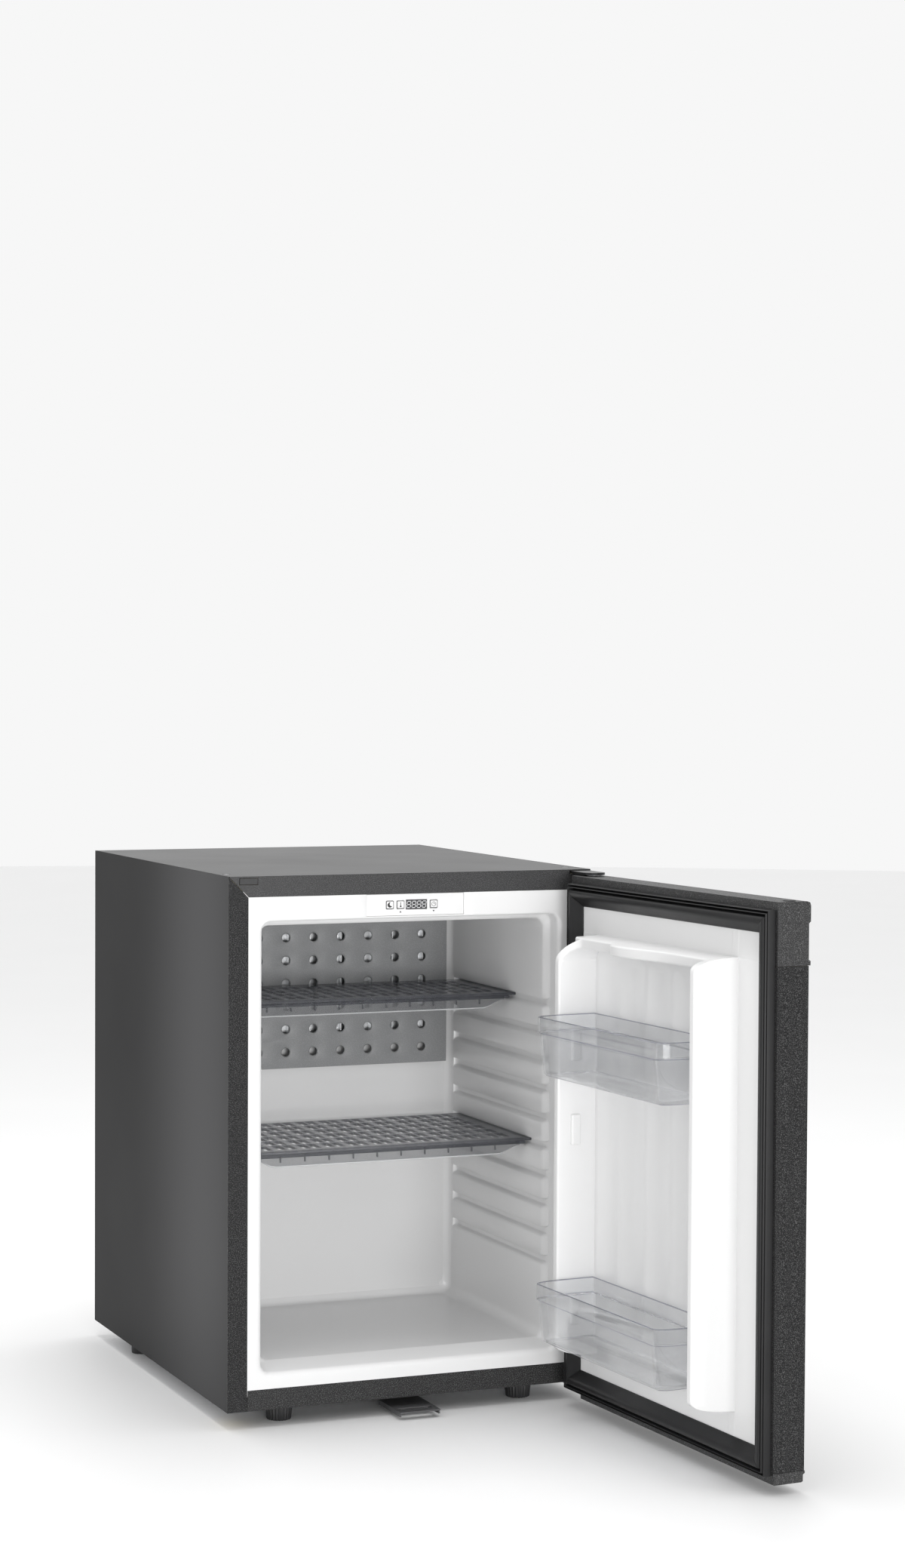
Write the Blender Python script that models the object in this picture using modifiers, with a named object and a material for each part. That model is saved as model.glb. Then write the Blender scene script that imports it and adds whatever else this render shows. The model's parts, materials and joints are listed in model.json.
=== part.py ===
"""Minibar fridge: an insulated cabinet with an absorption cooling unit, two shelves and a hinged door.

Lengths are in metres and +Z is up. The sizes below are set in the cabinet's own frame: x from the
cabinet's middle, y from its front flange towards the back, and z from the floor. The door is drawn shut
in that frame and turned on its hinge pins afterwards.
"""
import math

import bmesh
import bpy
from mathutils import Matrix, Vector

# Cabinet
CABINET_WIDTH = 0.402
CABINET_DEPTH = 0.481
CABINET_HEIGHT = 0.5435
FOOT_HEIGHT = 0.018
SHEET = 0.0010
FRONT_FRAME = 0.0212
REAR_RETURN = 0.014
SEAM = 0.0003

# Inner liner
LINER_WALL = 0.0014
LINER_MARGIN_SIDE = 0.0143
LINER_MARGIN_TOP = 0.0241
LINER_MARGIN_BOTTOM = 0.0143
STEP_DEPTH = 0.024
STEP_SIDE = 0.006
STEP_TOP = 0.006
STEP_BOTTOM = 0.0085
OPENING_RADIUS = 0.011
CAVITY_RADIUS = 0.013
REAR_FOAM = 0.047
UNIT_BAY = 0.156
GROOVE_COUNT = 10
GROOVE_PITCH = 0.0304
GROOVE_HEIGHT = 0.008
GROOVE_FROM_TOP = 0.0867
GROOVE_DEPTH = 0.0056
GROOVE_BACK_GAP = 0.008

# Perforated rear plate and evaporator
REAR_PLATE_STANDOFF = 0.016
REAR_PLATE_MARGIN_LEFT = 0.0190
REAR_PLATE_MARGIN_RIGHT = 0.0140
REAR_PLATE_HEIGHT = 0.1762
REAR_PLATE_TOP_GAP = 0.004
PLATE_HOLE = 0.0105
PLATE_HOLE_PITCH_X = 0.0324
PLATE_HOLE_PITCH_Z = 0.0254
PLATE_HOLE_MARGIN_X = 0.0250
PLATE_HOLE_MARGIN_TOP = 0.0320
PLATE_HOLE_MARGIN_BOTTOM = 0.0140
EVAPORATOR_MARGIN = 0.0240
EVAPORATOR_BASE = 0.0025
EVAPORATOR_FIN_DEPTH = 0.0085
EVAPORATOR_FIN = 0.0012
EVAPORATOR_FIN_COUNT = 20
EVAPORATOR_HEIGHT = 0.142
EVAPORATOR_FROM_TOP = 0.0140

# Control panel
PANEL_WIDTH = 0.1079
PANEL_OFFSET = 0.0019
PANEL_PROUD = 0.0006
PANEL_DEPTH = 0.014
PANEL_WALL = 0.0018
BUTTON_SIZE = 0.0086
BUTTON_PROUD = 0.0006
BUTTON_TRAVEL = 0.0008
BUTTON_LENGTH = 0.0052
BUTTON_CLEARANCE = 0.0003
BUTTON_PLACES = (("button_night", -0.0264), ("button_temperature", -0.0146), ("button_timer", 0.0223))
DISPLAY_WIDTH = 0.0231
DISPLAY_HEIGHT = 0.0098
DISPLAY_PLACE = 0.0032
DISPLAY_THICKNESS = 0.0010
BOARD_THICKNESS = 0.0016

# Door
DOOR_GAP = 0.011
DOOR_THICKNESS = 0.0342
DOOR_BELOW_TOP = 0.0051
DOOR_BELOW_BASE = 0.0076
DOOR_OPEN_ANGLE = math.radians(93.35)
PIN_FROM_EDGE = 0.011
PIN_FROM_OUTSIDE = 0.0150
PIN_RADIUS = 0.0035
PIN_CLEARANCE = 0.0003
BUSH_RADIUS = 0.006
BUSH_HEIGHT = 0.011
TOP_TRIM_HEIGHT = 0.0600
TOP_TRIM_HEAD = 0.0188
TOP_TRIM_RIB = 0.0042
TRIM_PROUD = 0.0020
BOTTOM_TRIM_HEIGHT = 0.0107
BOTTOM_TRIM_RIB = 0.0020
BOTTOM_TRIM_INSET = 0.0012
BOTTOM_TRIM_PROUD = 0.0008
SKIN_RETURN = 0.009
PLUG_RADIUS = 0.0062
PLUG_PROUD = 0.0010
PLUG_DEPTH = 0.006

# Door seal
SEAL_MARGIN_SIDE = 0.0036
SEAL_MARGIN_TOP = 0.0076
SEAL_MARGIN_BOTTOM = 0.0080
SEAL_WIDTH = 0.0230
SEAL_CLOSED_GAP = 0.0008

# Door liner
DAM_OUTER_FREE = 0.0673
DAM_OUTER_HINGE = 0.0490
DAM_THICKNESS = 0.0092
DAM_DRAFT = 0.0026
DAM_HEIGHT = 0.0500
DAM_FROM_BOTTOM = 0.0550
DAM_FROM_TOP = 0.0567
DAM_CORNER = 0.015
RAIL_HEIGHT = 0.0150
RAIL_REACH = 0.0280
LOBE_REACH = 0.0400
LOBE_WIDTH = 0.0850
LOBE_PLACE = 0.0230
DOOR_LINER_SHEET = 0.0015
BACK_PAD = 0.0060
FLUTE_DEPTH = 0.0025
FLUTE_WIDTH = 0.0455
FLUTE_RIDGE = 0.0060
LUG_REACH = 0.0022
LUG_WIDTH = 0.0110
LUG_HEIGHT = 0.0320
LUG_FROM_FACE = 0.0275

# Door racks
RACK_HEIGHT = 0.0610
RACK_REACH = 0.0780
RACK_WALL = 0.0020
RACK_SIDE_GAP = 0.0008
RACK_BACK_GAP = 0.0006
RACK_BAND_HEIGHT = 0.0165
RACK_BAND_PROUD = 0.0010
RACK_TAPER = 0.0035
RACK_CHAMFER_X = 0.0110
RACK_CHAMFER_Y = 0.0250
RACK_UPPER_FROM_TOP = 0.1369
RACK_LOWER_FROM_BOTTOM = 0.1366
SPARE_LUG_FROM_TOP = 0.2404

# Shelves
SHELF_EDGE = 0.0030
SHELF_SIDE_GAP = 0.0006
SHELF_SEAT_GAP = 0.0003
SHELF_BAR = 0.0065
SHELF_BAR_WIDTH = 0.0060
SHELF_SKIRT = 0.0125
SHELF_SKIRT_WALL = 0.0018
SHELF_SKIRT_INSET = 0.0260
SHELF_RIB_PITCH = 0.0270
SHELF_RIB_WALL = 0.0014
SHELF_HOLE_WIDTH = 0.0200
SHELF_HOLE_DEPTH = 0.0250
SHELF_HOLE_PITCH_Y = 0.0305
SHELF_BACK_GAP = 0.0010
SHELVES = (("shelf_upper", 0, 0.1530), ("shelf_lower", 5, 0.1970))

# Hinges
HINGE_PLATE = 0.0025
HINGE_REACH = 0.0125
HINGE_LENGTH_INSIDE = 0.0600
PIN_LENGTH = 0.0100
HINGE_SCREW_Y = 0.0400
WASHER_RADIUS = 0.0068
SCREW_HEAD_RADIUS = 0.0038
SCREW_HEAD = 0.0012
SCREW_SHANK_RADIUS = 0.0018
SCREW_SHANK = 0.0060
FLANGE_PLUG_WIDTH = 0.0193
FLANGE_PLUG_HEIGHT = 0.0063
FLANGE_PLUG_FROM_SIDE = 0.0214
FLANGE_PLUG_DROP = 0.0052
FLANGE_PLUG_PROUD = 0.0005

# Lock catch
CATCH_WIDTH = 0.0445
CATCH_REACH = 0.0250
CATCH_DROP = 0.0095
CATCH_PLATE = 0.0015
CATCH_FLANGE = 0.0035
CATCH_SLOT_WIDTH = 0.0360
CATCH_SLOT_DEPTH = 0.0078
CATCH_SLOT_FROM_END = 0.0148
CATCH_FOOT_START = 0.0500
CATCH_FOOT_END = 0.0720
CATCH_RAMP = 0.0360

# Feet
FRONT_FOOT_FROM_SIDE = 0.0665
FRONT_FOOT_Y = 0.0320
REAR_FOOT_FROM_SIDE = 0.0255
REAR_FOOT_FROM_BACK = 0.1040
FOOT_TOP_RADIUS = 0.0145
FOOT_BOTTOM_RADIUS = 0.0128
FOOT_RIBS = 24
FOOT_RIB_DEPTH = 0.0008
STUD_RADIUS = 0.0040
STUD_LENGTH = 0.0100
STUD_CLEARANCE = 0.0004
RAIL_RETURN = 0.0440
BASE_FROM_BACK = 0.0210

# Cooling unit
PLUG_BLOCK_X = 0.088
PLUG_BLOCK_HEIGHT = 0.155
PLUG_BLOCK_FROM_TOP = 0.0885
PLUG_BLOCK_DEPTH = 0.030
PLUG_BLOCK_PROUD = 0.003
VESSEL_RADIUS = 0.030
VESSEL_FROM_SIDE = 0.076
VESSEL_BOILER_GAP = 0.036
VESSEL_Z = 0.058
UNIT_FROM_BACK = 0.076
COIL_TUBE = 0.0080
COIL_INSET = 0.002
COIL_VESSEL_GAP = 0.010
COIL_RISE = 0.026
COIL_TURNS = 4
COIL_BEND = 0.022
BOILER_FROM_SIDE = 0.073
BOILER_RADIUS = 0.032
BOILER_LOW = 0.045
BOILER_HEIGHT = 0.255
PIPE_RADIUS = 0.0065
CONDENSER_FROM_TOP = 0.0555
CONDENSER_FROM_SIDE = 0.061
CONDENSER_BOILER_GAP = 0.033
CONDENSER_DROP = 0.010
FIN_MARGIN = 0.028
FIN_PITCH = 0.0130
FIN_WIDTH = 0.056
FIN_HEIGHT = 0.040
FIN_SHEET = 0.0008
BRACKET_HEIGHT = 0.020
BRACKET_SHEET = 0.0020
BRACKET_LOW = 0.052
BRACKET_FROM_TOP = 0.0655
SADDLE_WIDTH = 0.016
TERMINAL_WIDTH = 0.052
TERMINAL_HEIGHT = 0.042
TERMINAL_DEPTH = 0.030
TERMINAL_FROM_BOILER = 0.033
GLAND_RADIUS = 0.006
VENT_COUNT = 6
VENT_PITCH = 0.044
VENT_WIDTH = 0.012
VENT_LENGTH = 0.080
VENT_FROM_PANEL = 0.018

# Door lock
LOCK_RADIUS = 0.0085
LOCK_PROUD = 0.0012
LOCK_Z = 0.022
LOCK_CLEARANCE = 0.0004
KEYHOLE_WIDTH = 0.0016
KEYHOLE_HEIGHT = 0.0060
KEYHOLE_DEPTH = 0.0080
BOLT_THICKNESS = 0.0014
BOLT_WIDTH = 0.0300
BOLT_HEIGHT = 0.0360
BOLT_CLEARANCE = 0.0004


# Values worked out from the sizes above
HALF_WIDTH = CABINET_WIDTH / 2
UNDERSIDE = FOOT_HEIGHT
CABINET_TOP = FOOT_HEIGHT + CABINET_HEIGHT
INSIDE_X = HALF_WIDTH - SHEET - SEAM
INSIDE_LOW = UNDERSIDE + SHEET + SEAM
INSIDE_HIGH = CABINET_TOP - SHEET - SEAM
LINER_FRONT = SHEET + SEAM
OPENING_X = HALF_WIDTH - FRONT_FRAME - LINER_MARGIN_SIDE
OPENING_LOW = UNDERSIDE + FRONT_FRAME + LINER_MARGIN_BOTTOM
OPENING_HIGH = CABINET_TOP - FRONT_FRAME - LINER_MARGIN_TOP
INSULATION_BACK = CABINET_DEPTH - UNIT_BAY
CAVITY_BACK = INSULATION_BACK - REAR_FOAM
GROOVE_BACK = CAVITY_BACK - GROOVE_BACK_GAP
CAVITY_X = OPENING_X - STEP_SIDE
CAVITY_LOW = OPENING_LOW + STEP_BOTTOM
CAVITY_HIGH = OPENING_HIGH - STEP_TOP
GROOVE_TOP = CAVITY_HIGH - GROOVE_FROM_TOP
PLATE_FRONT = CAVITY_BACK - REAR_PLATE_STANDOFF
PLATE_LEFT = -CAVITY_X + REAR_PLATE_MARGIN_LEFT
PLATE_RIGHT = CAVITY_X - REAR_PLATE_MARGIN_RIGHT
PLATE_HIGH = CAVITY_HIGH - REAR_PLATE_TOP_GAP
PLATE_LOW = PLATE_HIGH - REAR_PLATE_HEIGHT
DOOR_INSIDE = -DOOR_GAP
DOOR_OUTSIDE = -DOOR_GAP - DOOR_THICKNESS
DOOR_HIGH = CABINET_TOP - DOOR_BELOW_TOP
DOOR_LOW = UNDERSIDE - DOOR_BELOW_BASE
PIN_X = HALF_WIDTH - PIN_FROM_EDGE
PIN_Y = DOOR_OUTSIDE + PIN_FROM_OUTSIDE
TRIM_LOW = DOOR_HIGH - TOP_TRIM_HEIGHT
BOTTOM_TRIM_TOP = DOOR_LOW + BOTTOM_TRIM_HEIGHT
UPPER_PLATE_LOW = INSIDE_HIGH - HINGE_PLATE
LOWER_PLATE_HIGH = UNDERSIDE - SEAM
CATCH_TOP = UNDERSIDE - CATCH_DROP
PANEL_FRONT = LINER_FRONT - PANEL_PROUD
PANEL_LOW = OPENING_HIGH + LINER_WALL + SEAM
PANEL_HIGH = CABINET_TOP - FRONT_FRAME - SEAM
PANEL_MIDDLE = (PANEL_LOW + PANEL_HIGH) / 2
RACK_BACK = DOOR_INSIDE + BACK_PAD + RACK_BACK_GAP
DAM_FREE_FOOT = -HALF_WIDTH + DAM_OUTER_FREE + DAM_THICKNESS + 2 * DAM_DRAFT
DAM_HINGE_FOOT = HALF_WIDTH - DAM_OUTER_HINGE - DAM_THICKNESS - 2 * DAM_DRAFT
DAM_LOW = DOOR_LOW + DAM_FROM_BOTTOM
DAM_HIGH = DOOR_HIGH - DAM_FROM_TOP
RACK_RIMS = (
    ("rack_upper", DOOR_HIGH - RACK_UPPER_FROM_TOP),
    ("rack_lower", DOOR_LOW + RACK_LOWER_FROM_BOTTOM),
)
SPARE_LUG_TOP = DOOR_HIGH - SPARE_LUG_FROM_TOP
FRONT_FOOT_X = HALF_WIDTH - FRONT_FOOT_FROM_SIDE
REAR_FOOT_X = HALF_WIDTH - REAR_FOOT_FROM_SIDE
REAR_FOOT_Y = CABINET_DEPTH - REAR_FOOT_FROM_BACK
UNIT_Y = CABINET_DEPTH - UNIT_FROM_BACK
BOILER_X = HALF_WIDTH - BOILER_FROM_SIDE
BOILER_HIGH = UNDERSIDE + BOILER_LOW + BOILER_HEIGHT
VESSEL_LEFT = -HALF_WIDTH + VESSEL_FROM_SIDE
VESSEL_RIGHT = BOILER_X - BOILER_RADIUS - VESSEL_BOILER_GAP
COIL_LEFT = VESSEL_LEFT + COIL_INSET
COIL_RIGHT = VESSEL_RIGHT - COIL_INSET
COIL_LOW = UNDERSIDE + VESSEL_Z + VESSEL_RADIUS + COIL_VESSEL_GAP
CONDENSER_LEFT = -HALF_WIDTH + CONDENSER_FROM_SIDE
CONDENSER_RIGHT = BOILER_X - CONDENSER_BOILER_GAP
CONDENSER_Z = CABINET_TOP - CONDENSER_FROM_TOP
UNIT_PLUG_HIGH = CABINET_TOP - PLUG_BLOCK_FROM_TOP
UNIT_PLUG_LOW = UNIT_PLUG_HIGH - PLUG_BLOCK_HEIGHT
ORIGIN = (0.0, 0.0, 0.0)


def footprint_centre():
    """Middle of the ground covered by the part, cabinet and open door together."""
    turn = Matrix.Rotation(DOOR_OPEN_ANGLE, 2)
    corners = (
        (-HALF_WIDTH, DOOR_OUTSIDE - TRIM_PROUD),
        (-HALF_WIDTH, DOOR_INSIDE),
        (HALF_WIDTH, DOOR_OUTSIDE - TRIM_PROUD),
    )
    pin = Vector((PIN_X, PIN_Y))
    swung = [pin + turn @ (Vector(corner) - pin) for corner in corners]
    right = max(HALF_WIDTH, max(point.x for point in swung))
    front = min(point.y for point in swung)
    return Vector(((right - HALF_WIDTH) / 2, (front + CABINET_DEPTH) / 2, 0.0))


for leftover in list(bpy.data.objects):
    bpy.data.objects.remove(leftover, do_unlink=True)

parts = bpy.data.collections.new("minibar_fridge")
cutters = bpy.data.collections.new("cutters")
bpy.context.scene.collection.children.link(parts)
bpy.context.scene.collection.children.link(cutters)


def finish(name, colour, roughness, metallic=0.0, alpha=1.0):
    """A Principled material with one colour, roughness and metallic value."""
    material = bpy.data.materials.new(name)
    material.use_nodes = True
    shader = material.node_tree.nodes["Principled BSDF"]
    shader.inputs["Base Color"].default_value = (*colour, 1.0)
    shader.inputs["Roughness"].default_value = roughness
    shader.inputs["Metallic"].default_value = metallic
    shader.inputs["Alpha"].default_value = alpha
    return material


DARK_STEEL = finish("dark_painted_steel", (0.055, 0.055, 0.058), 0.45, 0.2)
BLACK_STEEL = finish("black_speckled_steel", (0.022, 0.022, 0.023), 0.55, 0.1)
GALVANISED = finish("galvanised_steel", (0.45, 0.46, 0.47), 0.40, 0.9)
WHITE_PLASTIC = finish("white_liner_plastic", (0.82, 0.82, 0.82), 0.25)
FOAM = finish("insulation_foam", (0.78, 0.70, 0.48), 0.90)
GREY_PLATE = finish("grey_coated_plate", (0.42, 0.43, 0.44), 0.40, 0.3)
ALUMINIUM = finish("plain_aluminium", (0.62, 0.63, 0.64), 0.35, 1.0)
CLEAR = finish("clear_plastic", (0.80, 0.83, 0.85), 0.08, 0.0, 0.35)
SMOKY = finish("smoky_clear_plastic", (0.30, 0.32, 0.36), 0.10, 0.0, 0.45)
RUBBER = finish("black_seal_rubber", (0.020, 0.020, 0.021), 0.60)
BLACK_PLASTIC = finish("black_plastic", (0.025, 0.025, 0.027), 0.50)
PIN_STEEL = finish("plated_steel", (0.55, 0.55, 0.56), 0.30, 1.0)
CATCH_STEEL = finish("dark_catch_steel", (0.18, 0.18, 0.19), 0.35, 0.9)
DISPLAY = finish("dark_display", (0.06, 0.06, 0.065), 0.15)
BOARD = finish("circuit_board", (0.05, 0.20, 0.09), 0.50)
UNIT_BLACK = finish("black_unit_steel", (0.018, 0.018, 0.019), 0.45, 0.3)
LAGGING = finish("grey_boiler_lagging", (0.30, 0.30, 0.30), 0.60)


class Group:
    """Pieces that move together, under one empty that stands on their joint or reference point."""

    def __init__(self, name, origin=ORIGIN, parent=None, turn=0.0):
        self.origin = Vector(origin)
        self.empty = bpy.data.objects.new(name, None)
        self.empty.empty_display_size = 0.03
        self.empty.rotation_euler.z = turn
        parts.objects.link(self.empty)
        if parent is not None:
            self.empty.parent = parent.empty
            self.empty.location = self.origin - parent.origin


def place(name, mesh, group, centre, material):
    """Put a mesh into the scene under its group; without a material it is a hidden tool shape."""
    piece = bpy.data.objects.new(name, mesh)
    piece.parent = group.empty
    piece.location = Vector(centre) - group.origin
    if material is None:
        cutters.objects.link(piece)
        piece.hide_render = True
        piece.display_type = "WIRE"
    else:
        parts.objects.link(piece)
        mesh.materials.append(material)
    return piece


def mesh_from(bm, name):
    """A mesh datablock from a bmesh, with its faces pointing out."""
    bmesh.ops.recalc_face_normals(bm, faces=bm.faces)
    mesh = bpy.data.meshes.new(name)
    bm.to_mesh(mesh)
    bm.free()
    return mesh


def boxes(name, group, corners, material=None):
    """One or more separate boxes between pairs of corners, drawn from unit cubes."""
    bm = bmesh.new()
    centre = (Vector(corners[0][0]) + Vector(corners[0][1])) / 2
    for low, high in corners:
        low, high = Vector(low), Vector(high)
        made = bmesh.ops.create_cube(bm, size=1.0)["verts"]
        bmesh.ops.scale(bm, vec=high - low, verts=made)
        bmesh.ops.translate(bm, vec=(low + high) / 2 - centre, verts=made)
    return place(name, mesh_from(bm, name), group, centre, material)


def block(name, group, low, high, material=None):
    """A box between two corners."""
    return boxes(name, group, [(low, high)], material)


def smooth(piece, angle=35.0):
    """Smooth shading with edges kept sharp above an angle."""
    piece.data.shade_smooth()
    piece.data.set_sharp_from_angle(angle=math.radians(angle))
    return piece


def rods(name, group, lines, radius, material=None, sides=16):
    """One or more separate cylinders between pairs of points."""
    bm = bmesh.new()
    centre = (Vector(lines[0][0]) + Vector(lines[0][1])) / 2
    for start, end in lines:
        start, end = Vector(start), Vector(end)
        made = bmesh.ops.create_cone(
            bm, cap_ends=True, segments=sides, radius1=radius, radius2=radius, depth=(end - start).length
        )["verts"]
        lean = (end - start).to_track_quat("Z", "Y").to_matrix()
        bmesh.ops.rotate(bm, matrix=lean, verts=made)
        bmesh.ops.translate(bm, vec=(start + end) / 2 - centre, verts=made)
    return smooth(place(name, mesh_from(bm, name), group, centre, material))


def rod(name, group, start, end, radius, material=None, sides=16):
    """A cylinder between two points."""
    return rods(name, group, [(start, end)], radius, material, sides)


AXES = {
    "z": Matrix.Identity(3),
    "y": Matrix(((1, 0, 0), (0, 0, -1), (0, 1, 0))),
    "x": Matrix(((0, 0, 1), (1, 0, 0), (0, 1, 0))),
}


def curve_bmesh(name, curve):
    """The welded mesh of a curve, whose own object is removed."""
    drawing = bpy.data.objects.new(name + "_drawing", curve)
    bpy.context.scene.collection.objects.link(drawing)
    bpy.context.view_layer.update()
    evaluated = drawing.evaluated_get(bpy.context.evaluated_depsgraph_get())
    mesh = bpy.data.meshes.new_from_object(evaluated)
    bpy.data.objects.remove(drawing, do_unlink=True)
    bm = bmesh.new()
    bm.from_mesh(mesh)
    bpy.data.meshes.remove(mesh)
    bmesh.ops.remove_doubles(bm, verts=bm.verts, dist=0.00001)
    return bm


def slab(name, group, outline, axis, start, end, material=None, holes=()):
    """A flat outline with holes, extruded along an axis from one height to another.

    The outline's two values are x and y for axis z, x and z for axis y, and y and z for axis x.
    """
    curve = bpy.data.curves.new(name, "CURVE")
    curve.dimensions = "2D"
    curve.fill_mode = "BOTH"
    curve.extrude = (end - start) / 2
    for loop in (outline, *holes):
        spline = curve.splines.new("POLY")
        spline.points.add(len(loop) - 1)
        spline.use_cyclic_u = True
        for point, (u, v) in zip(spline.points, loop):
            point.co = (u, v, 0.0, 1.0)
    bm = curve_bmesh(name, curve)
    bmesh.ops.rotate(bm, matrix=AXES[axis], verts=bm.verts)
    middle = AXES[axis] @ Vector((0.0, 0.0, (start + end) / 2))
    if axis == "y":
        middle = -middle
    bmesh.ops.translate(bm, vec=middle, verts=bm.verts)
    return place(name, mesh_from(bm, name), group, ORIGIN, material)


def skin_rings(bm, rings):
    """Quads between rings of matching vertices."""
    for ring, following in zip(rings, rings[1:]):
        for index, vert in enumerate(ring):
            after = (index + 1) % len(ring)
            bm.faces.new((vert, ring[after], following[after], following[index]))


def loft(name, group, loops, material=None):
    """A closed solid through loops of points that match one another, with flat ends."""
    bm = bmesh.new()
    rings = [[bm.verts.new(point) for point in loop] for loop in loops]
    skin_rings(bm, rings)
    bm.faces.new(rings[0])
    bm.faces.new(rings[-1])
    return place(name, mesh_from(bm, name), group, ORIGIN, material)


def tube(name, group, points, radius, material=None, resolution=2):
    """A round bar along a line of points, with closed ends."""
    curve = bpy.data.curves.new(name, "CURVE")
    curve.dimensions = "3D"
    curve.bevel_depth = radius
    curve.bevel_resolution = resolution
    curve.use_fill_caps = True
    spline = curve.splines.new("POLY")
    spline.points.add(len(points) - 1)
    for point, position in zip(spline.points, points):
        point.co = (*position, 1.0)
    bm = curve_bmesh(name, curve)
    return smooth(place(name, mesh_from(bm, name), group, ORIGIN, material), 50.0)


def turned(name, group, centre, profile, material=None, steps=20, closed=False):
    """A piece turned about a vertical axis from radius and height pairs, outer side first, top down."""
    mesh = bpy.data.meshes.new(name)
    count = len(profile)
    edges = [(index, index + 1) for index in range(count - 1)]
    if closed:
        edges.append((count - 1, 0))
    mesh.from_pydata([(radius, 0.0, height) for radius, height in profile], edges, [])
    piece = place(name, mesh, group, centre, material)
    screw = piece.modifiers.new("turn", "SCREW")
    screw.steps = steps
    screw.render_steps = steps
    screw.use_merge_vertices = True
    screw.merge_threshold = 0.00001
    screw.use_smooth_shade = True
    return piece


def soften(piece, width, segments=2, angle=30.0):
    """Rounded edges where two faces meet at more than an angle."""
    bevel = piece.modifiers.new("soft_edges", "BEVEL")
    bevel.width = width
    bevel.segments = segments
    bevel.limit_method = "ANGLE"
    bevel.angle_limit = math.radians(angle)
    return piece


def combine(piece, tool, operation):
    """A live Boolean with one tool shape."""
    boolean = piece.modifiers.new(operation.lower(), "BOOLEAN")
    boolean.operation = operation
    boolean.object = tool
    boolean.solver = "EXACT"
    return piece


def cut(piece, *tools):
    """Take tool shapes away from a piece."""
    for tool in tools:
        combine(piece, tool, "DIFFERENCE")
    return piece


def fuse(piece, *tools):
    """Add tool shapes to a piece."""
    for tool in tools:
        combine(piece, tool, "UNION")
    return piece


def arc(centre_u, centre_v, radius, first, last, steps):
    """Points on an arc, angles in degrees."""
    turns = [math.radians(first + (last - first) * index / steps) for index in range(steps + 1)]
    return [(centre_u + radius * math.cos(turn), centre_v + radius * math.sin(turn)) for turn in turns]


def rectangle(low_u, low_v, high_u, high_v, radius=0.0, steps=4):
    """A rectangle, anticlockwise from its lower right corner, with round corners if a radius is given."""
    if radius == 0.0:
        return [(high_u, low_v), (high_u, high_v), (low_u, high_v), (low_u, low_v)]
    points = arc(high_u - radius, low_v + radius, radius, -90, 0, steps)
    points += arc(high_u - radius, high_v - radius, radius, 0, 90, steps)
    points += arc(low_u + radius, high_v - radius, radius, 90, 180, steps)
    points += arc(low_u + radius, low_v + radius, radius, 180, 270, steps)
    return points


def circle(centre_u, centre_v, radius, steps=12):
    """Points round a circle."""
    return arc(centre_u, centre_v, radius, 0, 360, steps)[:-1]


def folded_sheet(name, group, path, axis, start, end, material):
    """A folded steel sheet: an open line of points swept along an axis, thickened towards its inside."""
    bm = bmesh.new()
    verts = [bm.verts.new((u, v, start)) for u, v in path]
    edges = [bm.edges.new(pair) for pair in zip(verts, verts[1:])]
    swept = bmesh.ops.extrude_edge_only(bm, edges=edges)["geom"]
    raised = [item for item in swept if isinstance(item, bmesh.types.BMVert)]
    bmesh.ops.translate(bm, vec=(0.0, 0.0, end - start), verts=raised)
    bmesh.ops.rotate(bm, matrix=AXES[axis], verts=bm.verts)
    if axis == "y":
        bmesh.ops.translate(bm, vec=(0.0, start + end, 0.0), verts=bm.verts)
    bmesh.ops.recalc_face_normals(bm, faces=bm.faces)
    bm.normal_update()
    middle = sum((vert.co for vert in bm.verts), Vector()) / len(bm.verts)
    face = max(bm.faces, key=lambda item: item.calc_area())
    if face.normal.dot(middle - face.calc_center_median()) < 0:
        bmesh.ops.reverse_faces(bm, faces=bm.faces)
    mesh = bpy.data.meshes.new(name)
    bm.to_mesh(mesh)
    bm.free()
    piece = place(name, mesh, group, ORIGIN, material)
    solid = piece.modifiers.new("sheet", "SOLIDIFY")
    solid.thickness = SHEET
    solid.offset = 1.0
    solid.use_even_offset = True
    return piece


def mitred_frame(name, group, half, low, high, section, material):
    """A rectangular frame in the XZ plane: a closed section carried round it with mitred corners.

    Each section point is its inset from the frame's outer edge and its y.
    """
    bm = bmesh.new()
    rings = []
    for inset, depth in section:
        corners = rectangle(-half + inset, low + inset, half - inset, high - inset)
        rings.append([bm.verts.new((x, depth, z)) for x, z in corners])
    skin_rings(bm, rings + rings[:1])
    return place(name, mesh_from(bm, name), group, ORIGIN, material)


shift = footprint_centre()
cabinet = Group("cabinet_group")
cabinet.empty.location = -shift
door = Group("door_pivot", (PIN_X, PIN_Y, 0.0), cabinet, DOOR_OPEN_ANGLE)


def mitre(name, side, lift, above):
    """Tool shape on one side of a top corner's mitre line, which runs at 45 degrees from the corner."""
    reach = 2 * FRONT_FRAME
    corner_x, corner_z = side * HALF_WIDTH, CABINET_TOP + lift
    if above:
        far = (corner_x - side * reach, corner_z + reach)
        start = (side * INSIDE_X, corner_z + reach)
        line = [(side * INSIDE_X, corner_z - (HALF_WIDTH - INSIDE_X)), (corner_x - side * reach, corner_z - reach)]
        outline = [start, *line, far]
        return slab(name, cabinet, outline, "y", -SHEET, 3 * SHEET)
    line = [(corner_x + side * SHEET, corner_z + SHEET), (corner_x - side * reach, corner_z - reach)]
    outline = [*line, (corner_x + side * SHEET, corner_z - reach)]
    return slab(name, cabinet, outline, "y", -SHEET, 2 * SHEET - SEAM)


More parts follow.
